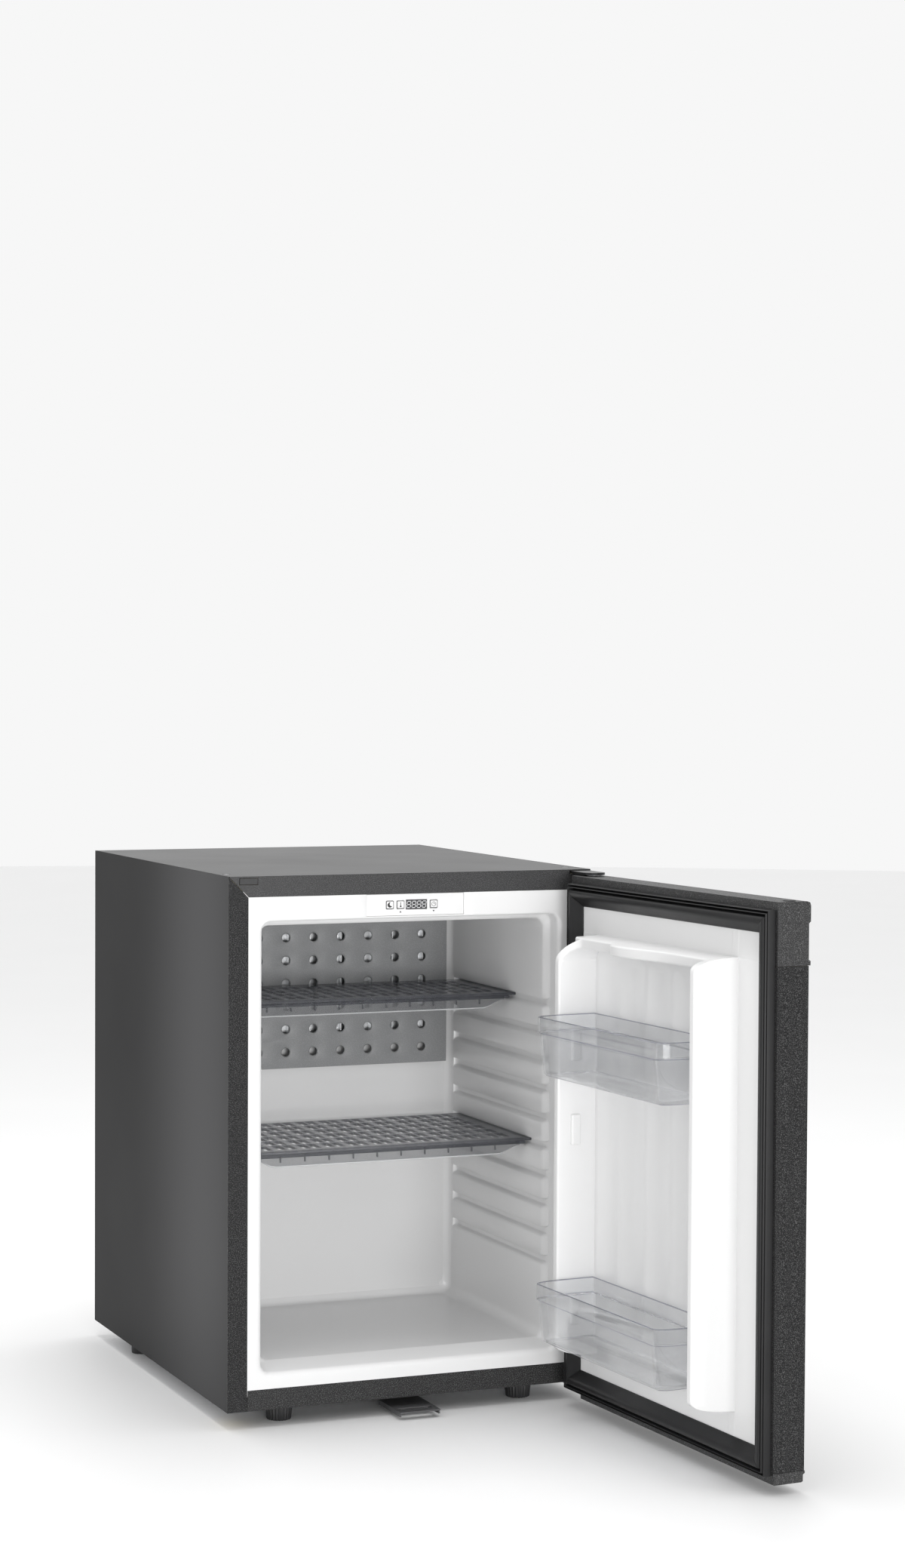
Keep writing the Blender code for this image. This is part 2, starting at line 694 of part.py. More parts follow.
def hinge_slot(name):
    """Tool shape for the slot in the front flanges that the upper hinge plate comes out of."""
    low = (PIN_X - HINGE_REACH - 2 * SEAM, -SHEET, UPPER_PLATE_LOW - 2 * SEAM)
    high = (INSIDE_X + SEAM / 2, 2 * SHEET, INSIDE_HIGH + SEAM / 2)
    return block(name, cabinet, low, high)


def build_side_panels():
    """Left and right outer panels with front flanges, mitred at the top, and rear returns."""
    for side, name in ((-1, "side_panel_left"), (1, "side_panel_right")):
        path = [
            (side * (HALF_WIDTH - FRONT_FRAME), 0.0),
            (side * HALF_WIDTH, 0.0),
            (side * HALF_WIDTH, CABINET_DEPTH),
            (side * (HALF_WIDTH - REAR_RETURN), CABINET_DEPTH),
        ]
        panel = folded_sheet(name, cabinet, path, "z", UNDERSIDE, CABINET_TOP, DARK_STEEL)
        rear_low = (side * (HALF_WIDTH - 2 * REAR_RETURN), CABINET_DEPTH - 3 * SHEET,
                    CABINET_TOP - REAR_RETURN - SEAM)
        rear_high = (side * INSIDE_X, CABINET_DEPTH + SHEET, CABINET_TOP + SHEET)
        cut(panel, mitre("cut_mitre_" + name, side, -SEAM, True),
            block("cut_rear_" + name, cabinet, rear_low, rear_high))
        if side > 0:
            cut(panel, hinge_slot("cut_side_hinge_slot"))


def build_top_panel():
    """Top panel between the side panels, with a front flange, a rear return and two screw holes."""
    path = [
        (0.0, CABINET_TOP - FRONT_FRAME),
        (0.0, CABINET_TOP),
        (CABINET_DEPTH, CABINET_TOP),
        (CABINET_DEPTH, CABINET_TOP - REAR_RETURN),
    ]
    panel = folded_sheet("top_panel", cabinet, path, "x", -INSIDE_X, INSIDE_X, DARK_STEEL)
    cut(panel, mitre("cut_mitre_top_left", -1, SEAM, False), mitre("cut_mitre_top_right", 1, SEAM, False))
    cut(panel, hinge_slot("cut_top_hinge_slot"))
    hole = SCREW_HEAD_RADIUS + SEAM
    for side in (-1, 1):
        ends = [(side * PIN_X, HINGE_SCREW_Y, CABINET_TOP + lift) for lift in (-2 * SHEET, SHEET)]
        cut(panel, rod("cut_top_screw_%d" % side, cabinet, ends[0], ends[1], hole))
    low, high = flange_plug_corners(SEAM)
    cut(panel, block("cut_flange_plug", cabinet, low, high))


def flange_plug_corners(clearance):
    """Corners of the plug that closes the spare hinge slot in the left of the top flange."""
    half_width = FLANGE_PLUG_WIDTH / 2 + clearance
    half_height = FLANGE_PLUG_HEIGHT / 2 + clearance
    z = CABINET_TOP - FLANGE_PLUG_DROP
    x = -HALF_WIDTH + FLANGE_PLUG_FROM_SIDE
    low = (x - half_width, -FLANGE_PLUG_PROUD - clearance, z - half_height)
    high = (x + half_width, 3 * SHEET + clearance, z + half_height)
    return low, high


def build_front_rail():
    """Bottom front strip, folded back under the cabinet to carry the front feet."""
    half = HALF_WIDTH - FRONT_FRAME - SEAM
    path = [(0.0, UNDERSIDE + FRONT_FRAME), (0.0, UNDERSIDE), (RAIL_RETURN, UNDERSIDE)]
    rail = folded_sheet("front_rail", cabinet, path, "x", -half, half, BLACK_STEEL)
    for side in (-1, 1):
        ends = [(side * FRONT_FOOT_X, FRONT_FOOT_Y, UNDERSIDE + lift) for lift in (-SHEET, 3 * SHEET)]
        cut(rail, rod("cut_rail_stud_%d" % side, cabinet, ends[0], ends[1], STUD_RADIUS + STUD_CLEARANCE))


def build_base_panel():
    """Underside sheet behind the front rail, with holes for the rear feet and vents below the cooling unit."""
    outline = rectangle(-INSIDE_X, RAIL_RETURN + SEAM, INSIDE_X, CABINET_DEPTH - BASE_FROM_BACK)
    holes = [circle(side * REAR_FOOT_X, REAR_FOOT_Y, STUD_RADIUS + STUD_CLEARANCE) for side in (-1, 1)]
    for index in range(VENT_COUNT):
        x = (index - (VENT_COUNT - 1) / 2) * VENT_PITCH
        start = INSULATION_BACK + VENT_FROM_PANEL
        low = (x - VENT_WIDTH / 2, start)
        high = (x + VENT_WIDTH / 2, start + VENT_LENGTH)
        holes.append(rectangle(*low, *high, VENT_WIDTH / 3, 2))
    slab("base_panel", cabinet, outline, "z", UNDERSIDE, UNDERSIDE + SHEET, GALVANISED, holes)


def cavity_outline(grow):
    """Outline in X and Z of the inner space with its shelf grooves, moved outwards by a distance."""
    radius = CAVITY_RADIUS + grow
    x, low, high = CAVITY_X + grow, CAVITY_LOW - grow, CAVITY_HIGH + grow
    right = arc(x - radius, low + radius, radius, -90, 0, 4)
    for index in reversed(range(GROOVE_COUNT)):
        top = GROOVE_TOP - index * GROOVE_PITCH
        below, above = top - GROOVE_HEIGHT - grow, top + grow
        deep = CAVITY_X + GROOVE_DEPTH + grow
        right += [(x, below), (deep, below), (deep, above), (x, above)]
    right += arc(x - radius, high - radius, radius, 0, 90, 4)
    left = [(-u, v) for u, v in reversed(right)]
    return right + left


def liner_volume(name, grow, front):
    """The inner space of the cabinet as one solid, moved outwards by a distance on all sides but the front."""
    step_back = STEP_DEPTH + grow
    mouth = rectangle(
        -OPENING_X - grow, OPENING_LOW - grow, OPENING_X + grow, OPENING_HIGH + grow, OPENING_RADIUS + grow
    )
    volume = slab(name, cabinet, mouth, "y", front, step_back)
    sill = [
        (front - SHEET, OPENING_LOW - STEP_BOTTOM - grow),
        (front - SHEET, OPENING_LOW - grow),
        (LINER_FRONT, OPENING_LOW - grow),
        (step_back + SHEET, CAVITY_LOW - grow),
        (step_back + SHEET, OPENING_LOW - STEP_BOTTOM - grow),
    ]
    cut(volume, slab(name + "_sill", cabinet, sill, "x", -HALF_WIDTH, HALF_WIDTH))
    grooved = slab(name + "_grooved", cabinet, cavity_outline(grow), "y", step_back - 2 * SHEET, GROOVE_BACK + grow)
    plain = rectangle(
        -CAVITY_X - grow, CAVITY_LOW - grow, CAVITY_X + grow, CAVITY_HIGH + grow, CAVITY_RADIUS + grow
    )
    rear = slab(name + "_rear", cabinet, plain, "y", GROOVE_BACK - 2 * SHEET, CAVITY_BACK + grow)
    return fuse(volume, grooved, rear)


def panel_cut(name, clearance):
    """Tool shape for the control panel's cut-out and pocket."""
    half = PANEL_WIDTH / 2 + clearance
    low = (PANEL_OFFSET - half, -SHEET, PANEL_LOW - clearance)
    high = (PANEL_OFFSET + half, PANEL_FRONT + PANEL_DEPTH + clearance, PANEL_HIGH + clearance)
    return block(name, cabinet, low, high)


def build_inner_liner():
    """Moulded white tub: front flange, stepped mouth, grooved walls and rear wall in one sheet."""
    lap = 0.3 * FRONT_FRAME
    outline = rectangle(
        -HALF_WIDTH + FRONT_FRAME - lap,
        UNDERSIDE + FRONT_FRAME - lap,
        HALF_WIDTH - FRONT_FRAME + lap,
        CABINET_TOP - FRONT_FRAME + lap,
    )
    liner = slab("inner_liner", cabinet, outline, "y", LINER_FRONT, LINER_FRONT + LINER_WALL, WHITE_PLASTIC)
    fuse(liner, liner_volume("liner_outside", LINER_WALL, LINER_FRONT + LINER_WALL / 2))
    cut(liner, liner_volume("liner_inside", 0.0, -SHEET), panel_cut("cut_liner_panel", SEAM))


def build_insulation():
    """Foam between the cabinet's panels and the liner, with pockets for what reaches into it."""
    front = LINER_FRONT + LINER_WALL + SEAM
    low = (-INSIDE_X, front, INSIDE_LOW)
    foam = block("insulation", cabinet, low, (INSIDE_X, INSULATION_BACK, INSIDE_HIGH), FOAM)
    cut(foam, liner_volume("foam_hollow", LINER_WALL + SEAM, 0.0), panel_cut("cut_foam_panel", 2 * SEAM))
    plate_low = (PIN_X - HINGE_REACH - SEAM, 0.0, UPPER_PLATE_LOW - SEAM)
    plate_high = (INSIDE_X + SHEET, HINGE_LENGTH_INSIDE + SEAM, INSIDE_HIGH + SHEET)
    cut(foam, block("cut_foam_hinge", cabinet, plate_low, plate_high))
    for side in (-1, 1):
        x = side * FRONT_FOOT_X
        stud_top = (x, FRONT_FOOT_Y, UNDERSIDE + STUD_LENGTH + SEAM)
        cut(foam, rod("cut_foam_stud_%d" % side, cabinet, (x, FRONT_FOOT_Y, 0.0), stud_top, STUD_RADIUS + SEAM))
        screw_low = (side * PIN_X, HINGE_SCREW_Y, INSIDE_HIGH - SCREW_SHANK - SEAM)
        screw_high = (side * PIN_X, HINGE_SCREW_Y, CABINET_TOP)
        cut(foam, rod("cut_foam_screw_%d" % side, cabinet, screw_low, screw_high, SCREW_HEAD_RADIUS + SEAM))
    plug_low, plug_high = flange_plug_corners(SEAM)
    cut(foam, block("cut_foam_flange_plug", cabinet, plug_low, plug_high), unit_plug_cut("cut_foam_unit_plug"))


def unit_plug_cut(name):
    """Tool shape for the hole at the back that the insulated plug of the cooling unit fills."""
    low = (-PLUG_BLOCK_X - SEAM, INSULATION_BACK - PLUG_BLOCK_DEPTH - SEAM, UNIT_PLUG_LOW - SEAM)
    high = (PLUG_BLOCK_X + SEAM, INSULATION_BACK + 3 * SHEET, UNIT_PLUG_HIGH + SEAM)
    return block(name, cabinet, low, high)


def build_back_panel():
    """Sheet that closes the insulation at the back, with a hole for the cooling unit's plug."""
    low = (-INSIDE_X, INSULATION_BACK + SEAM, INSIDE_LOW)
    high = (INSIDE_X, INSULATION_BACK + SEAM + SHEET, INSIDE_HIGH)
    panel = block("back_panel", cabinet, low, high, GALVANISED)
    cut(panel, unit_plug_cut("cut_back_unit_plug"))


def build_rear_plate():
    """Perforated cover in front of the evaporator, with edges folded back to the liner's rear wall."""
    corner = 4 * SHEET
    outline = rectangle(PLATE_LEFT, PLATE_LOW, PLATE_RIGHT, PLATE_HIGH, corner, 3)
    plate = slab("evaporator_cover", cabinet, outline, "y", PLATE_FRONT, PLATE_FRONT + SHEET, GREY_PLATE)
    inner = rectangle(PLATE_LEFT + SHEET, PLATE_LOW + SHEET, PLATE_RIGHT - SHEET, PLATE_HIGH - SHEET,
                      corner - SHEET, 3)
    edge_front = PLATE_FRONT + SHEET / 2
    fuse(plate, slab("add_cover_edge", cabinet, outline, "y", edge_front, CAVITY_BACK - SEAM, None, [inner]))
    middle = (PLATE_LEFT + PLATE_RIGHT) / 2
    columns = 1 + int((PLATE_RIGHT - PLATE_LEFT - 2 * PLATE_HOLE_MARGIN_X) // PLATE_HOLE_PITCH_X)
    rows = 1 + int((REAR_PLATE_HEIGHT - PLATE_HOLE_MARGIN_TOP - PLATE_HOLE_MARGIN_BOTTOM) // PLATE_HOLE_PITCH_Z)
    holes = []
    for row in range(rows):
        for column in range(columns):
            x = middle + (column - (columns - 1) / 2) * PLATE_HOLE_PITCH_X
            z = PLATE_HIGH - PLATE_HOLE_MARGIN_TOP - row * PLATE_HOLE_PITCH_Z
            holes.append(((x, PLATE_FRONT - SHEET, z), (x, PLATE_FRONT + 2 * SHEET, z)))
    cut(plate, rods("cut_cover_holes", cabinet, holes, PLATE_HOLE / 2, None, 8))


def build_evaporator():
    """Aluminium plate on the liner's rear wall, with upright fins towards the perforated cover."""
    back = CAVITY_BACK - SEAM
    left, right = PLATE_LEFT + EVAPORATOR_MARGIN, PLATE_RIGHT - EVAPORATOR_MARGIN
    high = PLATE_HIGH - EVAPORATOR_FROM_TOP
    low = high - EVAPORATOR_HEIGHT
    evaporator = block("evaporator", cabinet, (left, back - EVAPORATOR_BASE, low), (right, back, high), ALUMINIUM)
    fins = []
    first, last = left + 2 * EVAPORATOR_FIN, right - 2 * EVAPORATOR_FIN
    for index in range(EVAPORATOR_FIN_COUNT):
        x = first + (last - first) * index / (EVAPORATOR_FIN_COUNT - 1)
        fin_front = back - EVAPORATOR_BASE - EVAPORATOR_FIN_DEPTH
        fins.append(((x - EVAPORATOR_FIN / 2, fin_front, low + EVAPORATOR_FIN),
                     (x + EVAPORATOR_FIN / 2, back - EVAPORATOR_BASE / 2, high - EVAPORATOR_FIN)))
    fuse(evaporator, boxes("add_evaporator_fins", cabinet, fins))


def build_control_panel():
    """White control panel in the flange above the opening: housing, display window and circuit board."""
    half = PANEL_WIDTH / 2
    left, right = PANEL_OFFSET - half, PANEL_OFFSET + half
    back = PANEL_FRONT + PANEL_DEPTH
    panel = block("control_panel", cabinet, (left, PANEL_FRONT, PANEL_LOW), (right, back, PANEL_HIGH), WHITE_PLASTIC)
    hollow_low = (left + PANEL_WALL, PANEL_FRONT + PANEL_WALL, PANEL_LOW + PANEL_WALL)
    hollow_high = (right - PANEL_WALL, back + SHEET, PANEL_HIGH - PANEL_WALL)
    cut(panel, block("cut_panel_hollow", cabinet, hollow_low, hollow_high))
    for name, x in BUTTON_PLACES:
        reach = BUTTON_SIZE / 2 + BUTTON_CLEARANCE
        hole = rectangle(x - reach, PANEL_MIDDLE - reach, x + reach, PANEL_MIDDLE + reach, BUTTON_SIZE / 5, 3)
        cut(panel, slab("cut_hole_" + name, cabinet, hole, "y", PANEL_FRONT - SHEET, PANEL_FRONT + 2 * PANEL_WALL))
    window_half = (DISPLAY_WIDTH / 2, DISPLAY_HEIGHT / 2)
    window = ((DISPLAY_PLACE - window_half[0], PANEL_FRONT, PANEL_MIDDLE - window_half[1]),
              (DISPLAY_PLACE + window_half[0], PANEL_FRONT + DISPLAY_THICKNESS, PANEL_MIDDLE + window_half[1]))
    block("display_window", cabinet, window[0], window[1], DISPLAY)
    gap = Vector((SEAM, SEAM, SEAM))
    cut(panel, block("cut_display", cabinet, Vector(window[0]) - gap - Vector((0, SHEET, 0)),
                     Vector(window[1]) + gap))
    board_front = PANEL_FRONT - BUTTON_PROUD + BUTTON_LENGTH + BUTTON_TRAVEL + SEAM
    board_low = (hollow_low[0] + SEAM, board_front, hollow_low[2] + SEAM)
    board_high = (hollow_high[0] - SEAM, board_front + BOARD_THICKNESS, hollow_high[2] - SEAM)
    block("control_board", cabinet, board_low, board_high, BOARD)


def build_buttons():
    """Square push buttons with round corners, each in its own hole of the control panel."""
    for name, x in BUTTON_PLACES:
        front = PANEL_FRONT - BUTTON_PROUD
        group = Group(name + "_slide", (x, front, PANEL_MIDDLE), cabinet)
        half = BUTTON_SIZE / 2
        outline = rectangle(x - half, PANEL_MIDDLE - half, x + half, PANEL_MIDDLE + half, BUTTON_SIZE / 5, 3)
        slab(name, group, outline, "y", front, front + BUTTON_LENGTH, WHITE_PLASTIC)


def hinge_outline(length):
    """Outline in X and Y of a hinge plate: round in front of its pin, straight along the cabinet's side."""
    side = INSIDE_X
    stop = math.degrees(math.asin(min(1.0, (side - PIN_X) / HINGE_REACH)))
    points = arc(PIN_X, PIN_Y, HINGE_REACH, -180, -90 + stop, 10)
    return points + [(side, length), (PIN_X - HINGE_REACH, length)]


def build_hinges():
    """Upper and lower hinge plates, each with its pin, and the thrust washer on the upper pin."""
    high = INSIDE_HIGH
    upper = slab("hinge_plate_top", cabinet, hinge_outline(HINGE_LENGTH_INSIDE), "z", UPPER_PLATE_LOW, high,
                 PIN_STEEL)
    fuse(upper, rod("add_pin_top", cabinet, (PIN_X, PIN_Y, DOOR_HIGH - PIN_LENGTH),
                    (PIN_X, PIN_Y, high - SEAM), PIN_RADIUS))
    screw_low = (PIN_X, HINGE_SCREW_Y, UPPER_PLATE_LOW - SHEET)
    cut(upper, rod("cut_plate_screw", cabinet, screw_low, (PIN_X, HINGE_SCREW_Y, CABINET_TOP),
                   SCREW_HEAD_RADIUS + SEAM))
    low = LOWER_PLATE_HIGH - HINGE_PLATE
    lower = slab("hinge_plate_bottom", cabinet, hinge_outline(HINGE_LENGTH_INSIDE), "z", low, LOWER_PLATE_HIGH,
                 PIN_STEEL)
    fuse(lower, rod("add_pin_bottom", cabinet, (PIN_X, PIN_Y, low + SEAM),
                    (PIN_X, PIN_Y, LOWER_PLATE_HIGH + 1.5 * PIN_LENGTH), PIN_RADIUS))
    bore, rim = PIN_RADIUS + PIN_CLEARANCE, WASHER_RADIUS
    top, bottom = UPPER_PLATE_LOW - SEAM, DOOR_HIGH + SEAM
    profile = [(rim, top), (rim, bottom), (bore, bottom), (bore, top)]
    turned("hinge_washer", cabinet, (PIN_X, PIN_Y, 0.0), profile, PIN_STEEL, 16, True)


def build_top_screws():
    """Two screws whose heads lie just below the surface of the top panel."""
    for side, name in ((-1, "top_screw_left"), (1, "top_screw_right")):
        head_top = CABINET_TOP - SEAM / 2
        head_low = head_top - SCREW_HEAD
        tip = INSIDE_HIGH - SCREW_SHANK
        profile = [
            (0.0, head_top),
            (SCREW_HEAD_RADIUS, head_top),
            (SCREW_HEAD_RADIUS, head_low),
            (SCREW_SHANK_RADIUS, head_low),
            (SCREW_SHANK_RADIUS, tip),
            (0.0, tip),
        ]
        turned(name, cabinet, (side * PIN_X, HINGE_SCREW_Y, 0.0), profile, PIN_STEEL, 16)


def build_flange_plug():
    """Plug in the spare hinge slot at the left of the top flange."""
    low, high = flange_plug_corners(0.0)
    soften(block("flange_plug", cabinet, low, high, BLACK_PLASTIC), 0.3 * SHEET, 1)


def build_catch():
    """Slotted lock catch below the door: joggled plate with turned down sides, fixed under the cabinet."""
    half = CATCH_WIDTH / 2
    drop = Vector((0.0, -CATCH_PLATE))
    seat = UNDERSIDE - SEAM
    line = [
        Vector((-CATCH_REACH, CATCH_TOP)),
        Vector((CATCH_RAMP, CATCH_TOP)),
        Vector((CATCH_FOOT_START, seat)),
        Vector((CATCH_FOOT_END, seat)),
    ]
    outline = [tuple(point) for point in line] + [tuple(point + drop) for point in reversed(line)]
    catch = slab("lock_catch", cabinet, outline, "x", -half, half, CATCH_STEEL)
    top = CATCH_TOP - 0.2 * CATCH_PLATE
    flanges = []
    for side in (-1, 1):
        low = (side * (half - CATCH_PLATE), -CATCH_REACH + CATCH_PLATE, CATCH_TOP - CATCH_PLATE - CATCH_FLANGE)
        flanges.append((low, (side * half, CATCH_RAMP, top)))
    fuse(catch, boxes("add_catch_flanges", cabinet, flanges))
    slot_low = (-CATCH_SLOT_WIDTH / 2, -CATCH_SLOT_FROM_END, CATCH_TOP - 2 * CATCH_PLATE)
    slot_high = (CATCH_SLOT_WIDTH / 2, -CATCH_SLOT_FROM_END + CATCH_SLOT_DEPTH, CATCH_TOP + CATCH_PLATE)
    cut(catch, block("cut_catch_slot", cabinet, slot_low, slot_high))


def ribbed_circle(centre_x, centre_y, radius):
    """Points round a circle with shallow ribs."""
    points = []
    for index in range(2 * FOOT_RIBS):
        reach = radius - (FOOT_RIB_DEPTH if index % 2 else 0.0)
        turn = math.pi * index / FOOT_RIBS
        points.append((centre_x + reach * math.cos(turn), centre_y + reach * math.sin(turn)))
    return points


def build_feet():
    """Ribbed front feet on studs that screw up and down, and plain rear feet pressed into the base."""
    seat = UNDERSIDE - SEAM
    for side, name in ((-1, "left"), (1, "right")):
        x = side * FRONT_FOOT_X
        group = Group("foot_slide_" + name, (x, FRONT_FOOT_Y, 0.0), cabinet)
        foot = loft(
            "front_foot_" + name,
            group,
            [
                [(u, v, height) for u, v in ribbed_circle(x, FRONT_FOOT_Y, radius)]
                for radius, height in ((FOOT_BOTTOM_RADIUS, 0.0), (FOOT_TOP_RADIUS, seat))
            ],
            BLACK_PLASTIC,
        )
        stud_ends = ((x, FRONT_FOOT_Y, seat - STUD_RADIUS), (x, FRONT_FOOT_Y, UNDERSIDE + STUD_LENGTH))
        fuse(foot, rod("add_stud_" + name, group, stud_ends[0], stud_ends[1], STUD_RADIUS))
        rear = [
            (0.0, UNDERSIDE + 3 * SHEET),
            (STUD_RADIUS, UNDERSIDE + 3 * SHEET),
            (STUD_RADIUS, seat),
            (FOOT_BOTTOM_RADIUS, seat),
            (FOOT_BOTTOM_RADIUS - SHEET, 0.0),
            (0.0, 0.0),
        ]
        turned("rear_foot_" + name, cabinet, (side * REAR_FOOT_X, REAR_FOOT_Y, 0.0), rear, BLACK_PLASTIC, 20)


def stadium_coil():
    """Points of the absorber's rising coil: flat loops with round ends, each turn a little higher."""
    points = []
    steps = 4
    rear, front = UNIT_Y + COIL_BEND, UNIT_Y - COIL_BEND
    per_turn = 2 * (steps + 1)
    for turn in range(COIL_TURNS):
        left = arc(COIL_LEFT + COIL_BEND, UNIT_Y, COIL_BEND, 270, 90, steps)
        right = arc(COIL_RIGHT - COIL_BEND, UNIT_Y, COIL_BEND, 90, -90, steps)
        for index, (x, y) in enumerate(left + right):
            z = COIL_LOW + COIL_RISE * (turn + index / per_turn)
            points.append((x, y, z))
    return points


def build_cooling_unit():
    """Absorption cooling unit in the open bay at the back, hung on two straps."""
    plug_front = INSULATION_BACK - PLUG_BLOCK_DEPTH
    plug_back = INSULATION_BACK + SEAM + SHEET + PLUG_BLOCK_PROUD
    plug_low = (-PLUG_BLOCK_X, plug_front, UNIT_PLUG_LOW)
    block("unit_plug", cabinet, plug_low, (PLUG_BLOCK_X, plug_back, UNIT_PLUG_HIGH), FOAM)
    vessel_z = UNDERSIDE + VESSEL_Z
    vessel = rod("absorber_vessel", cabinet, (VESSEL_LEFT, UNIT_Y, vessel_z), (VESSEL_RIGHT, UNIT_Y, vessel_z),
                 VESSEL_RADIUS, UNIT_BLACK, 24)
    soften(vessel, VESSEL_RADIUS / 3, 2, 60.0)
    coil = stadium_coil()
    tube("absorber_coil", cabinet, coil, COIL_TUBE, UNIT_BLACK)
    boiler_low, boiler_high = UNDERSIDE + BOILER_LOW, BOILER_HIGH
    soft = BOILER_RADIUS / 4
    profile = [
        (0.0, boiler_high),
        (BOILER_RADIUS - soft, boiler_high),
        (BOILER_RADIUS, boiler_high - soft),
        (BOILER_RADIUS, boiler_low + soft),
        (BOILER_RADIUS - soft, boiler_low),
        (0.0, boiler_low),
    ]
    turned("boiler_case", cabinet, (BOILER_X, UNIT_Y, 0.0), profile, LAGGING, 24)
    bend = 3 * PIPE_RADIUS
    elbow = [(x, UNIT_Y, z) for x, z in arc(BOILER_X - bend, CONDENSER_Z - bend, bend, 0, 90, 5)]
    rising = [(BOILER_X, UNIT_Y, boiler_high + SEAM)] + elbow + [(CONDENSER_RIGHT + SEAM, UNIT_Y, CONDENSER_Z)]
    tube("rising_pipe", cabinet, rising, PIPE_RADIUS, UNIT_BLACK)
    ends = ((CONDENSER_LEFT, UNIT_Y, CONDENSER_Z - CONDENSER_DROP), (CONDENSER_RIGHT, UNIT_Y, CONDENSER_Z))
    condenser = rod("condenser", cabinet, ends[0], ends[1], COIL_TUBE, UNIT_BLACK, 12)
    fins = []
    middle = (CONDENSER_LEFT + CONDENSER_RIGHT) / 2
    count = 1 + int((CONDENSER_RIGHT - CONDENSER_LEFT - 2 * FIN_MARGIN) // FIN_PITCH)
    for index in range(count):
        x = middle + (index - (count - 1) / 2) * FIN_PITCH
        z = CONDENSER_Z - CONDENSER_DROP / 2
        fins.append(((x - FIN_SHEET / 2, UNIT_Y - FIN_WIDTH / 2, z - FIN_HEIGHT / 2),
                     (x + FIN_SHEET / 2, UNIT_Y + FIN_WIDTH / 2, z + FIN_HEIGHT / 2)))
    fuse(condenser, boxes("add_condenser_fins", cabinet, fins))


def build_unit_pipes():
    """Pipes between the condenser, the insulated plug and the absorber coil."""
    bend = 2.5 * PIPE_RADIUS
    plug_back = INSULATION_BACK + 2 * SEAM + SHEET + PLUG_BLOCK_PROUD
    left_x = -PLUG_BLOCK_X + 2 * bend
    z = UNIT_PLUG_HIGH - 2 * bend
    start = Vector((CONDENSER_LEFT - SEAM, UNIT_Y, CONDENSER_Z - CONDENSER_DROP))
    down_x = CONDENSER_LEFT - bend
    path = [tuple(start)]
    path += [(x, UNIT_Y, height) for x, height in arc(down_x, start.z - bend, bend, 90, 180, 4)][1:]
    path += [(x, UNIT_Y, height) for x, height in arc(down_x, z + bend, bend, 180, 270, 4)]
    path += [(x, y, z) for x, y in arc(left_x - bend, UNIT_Y - bend, bend, 90, 0, 4)]
    path.append((left_x, plug_back, z))
    tube("liquid_pipe", cabinet, path, PIPE_RADIUS, UNIT_BLACK)
    top = stadium_coil()[-1]
    return_z = UNIT_PLUG_LOW + 2 * bend
    return_x = top[0]
    path = [(return_x, plug_back, return_z)]
    path += [(return_x, y, height) for y, height in arc(top[1] - bend, return_z - bend, bend, 90, 0, 4)]
    path.append((return_x, top[1], top[2] + COIL_TUBE + SEAM))
    tube("vapour_pipe", cabinet, path, PIPE_RADIUS, UNIT_BLACK)


def build_straps():
    """Two flat straps between the rear returns, with saddles that reach in to the cooling unit."""
    back = CABINET_DEPTH - SHEET - SEAM
    front = back - BRACKET_SHEET
    half = INSIDE_X
    reach = (
        ("unit_strap_bottom", UNDERSIDE + BRACKET_LOW,
         (VESSEL_LEFT / 2, VESSEL_RADIUS), (BOILER_X, BOILER_RADIUS)),
        ("unit_strap_top", CABINET_TOP - BRACKET_FROM_TOP,
         (CONDENSER_LEFT + COIL_TUBE, COIL_TUBE),
         (CONDENSER_RIGHT + SADDLE_WIDTH / 2 + 2 * SEAM, PIPE_RADIUS)),
    )
    for name, low_z, *saddles in reach:
        strap = block(name, cabinet, (-half, front, low_z), (half, back, low_z + BRACKET_HEIGHT), GALVANISED)
        corners = []
        for x, radius in saddles:
            start = UNIT_Y + radius + SEAM
            corners.append(((x - SADDLE_WIDTH / 2, start, low_z + BRACKET_SHEET),
                            (x + SADDLE_WIDTH / 2, front + BRACKET_SHEET / 2, low_z + BRACKET_HEIGHT - BRACKET_SHEET)))
        fuse(strap, boxes("add_saddles_" + name, cabinet, corners))


def build_terminal_box():
    """Terminal box on the base panel behind the boiler, with a gland for the mains lead."""
    low_z = UNDERSIDE + SHEET + SEAM
    back = UNIT_Y - BOILER_RADIUS - SEAM
    middle = BOILER_X - TERMINAL_FROM_BOILER
    low = (middle - TERMINAL_WIDTH / 2, back - TERMINAL_DEPTH, low_z)
    high = (middle + TERMINAL_WIDTH / 2, back, low_z + TERMINAL_HEIGHT)
    soften(block("terminal_box", cabinet, low, high, BLACK_PLASTIC), 2 * SHEET, 2)
    z = low_z + TERMINAL_HEIGHT / 2
    x = high[0] + SEAM
    gland_y = back - TERMINAL_DEPTH / 2
    rod("cord_gland", cabinet, (x, gland_y, z), (x + 2 * GLAND_RADIUS, gland_y, z),
        GLAND_RADIUS, BLACK_PLASTIC, 12)


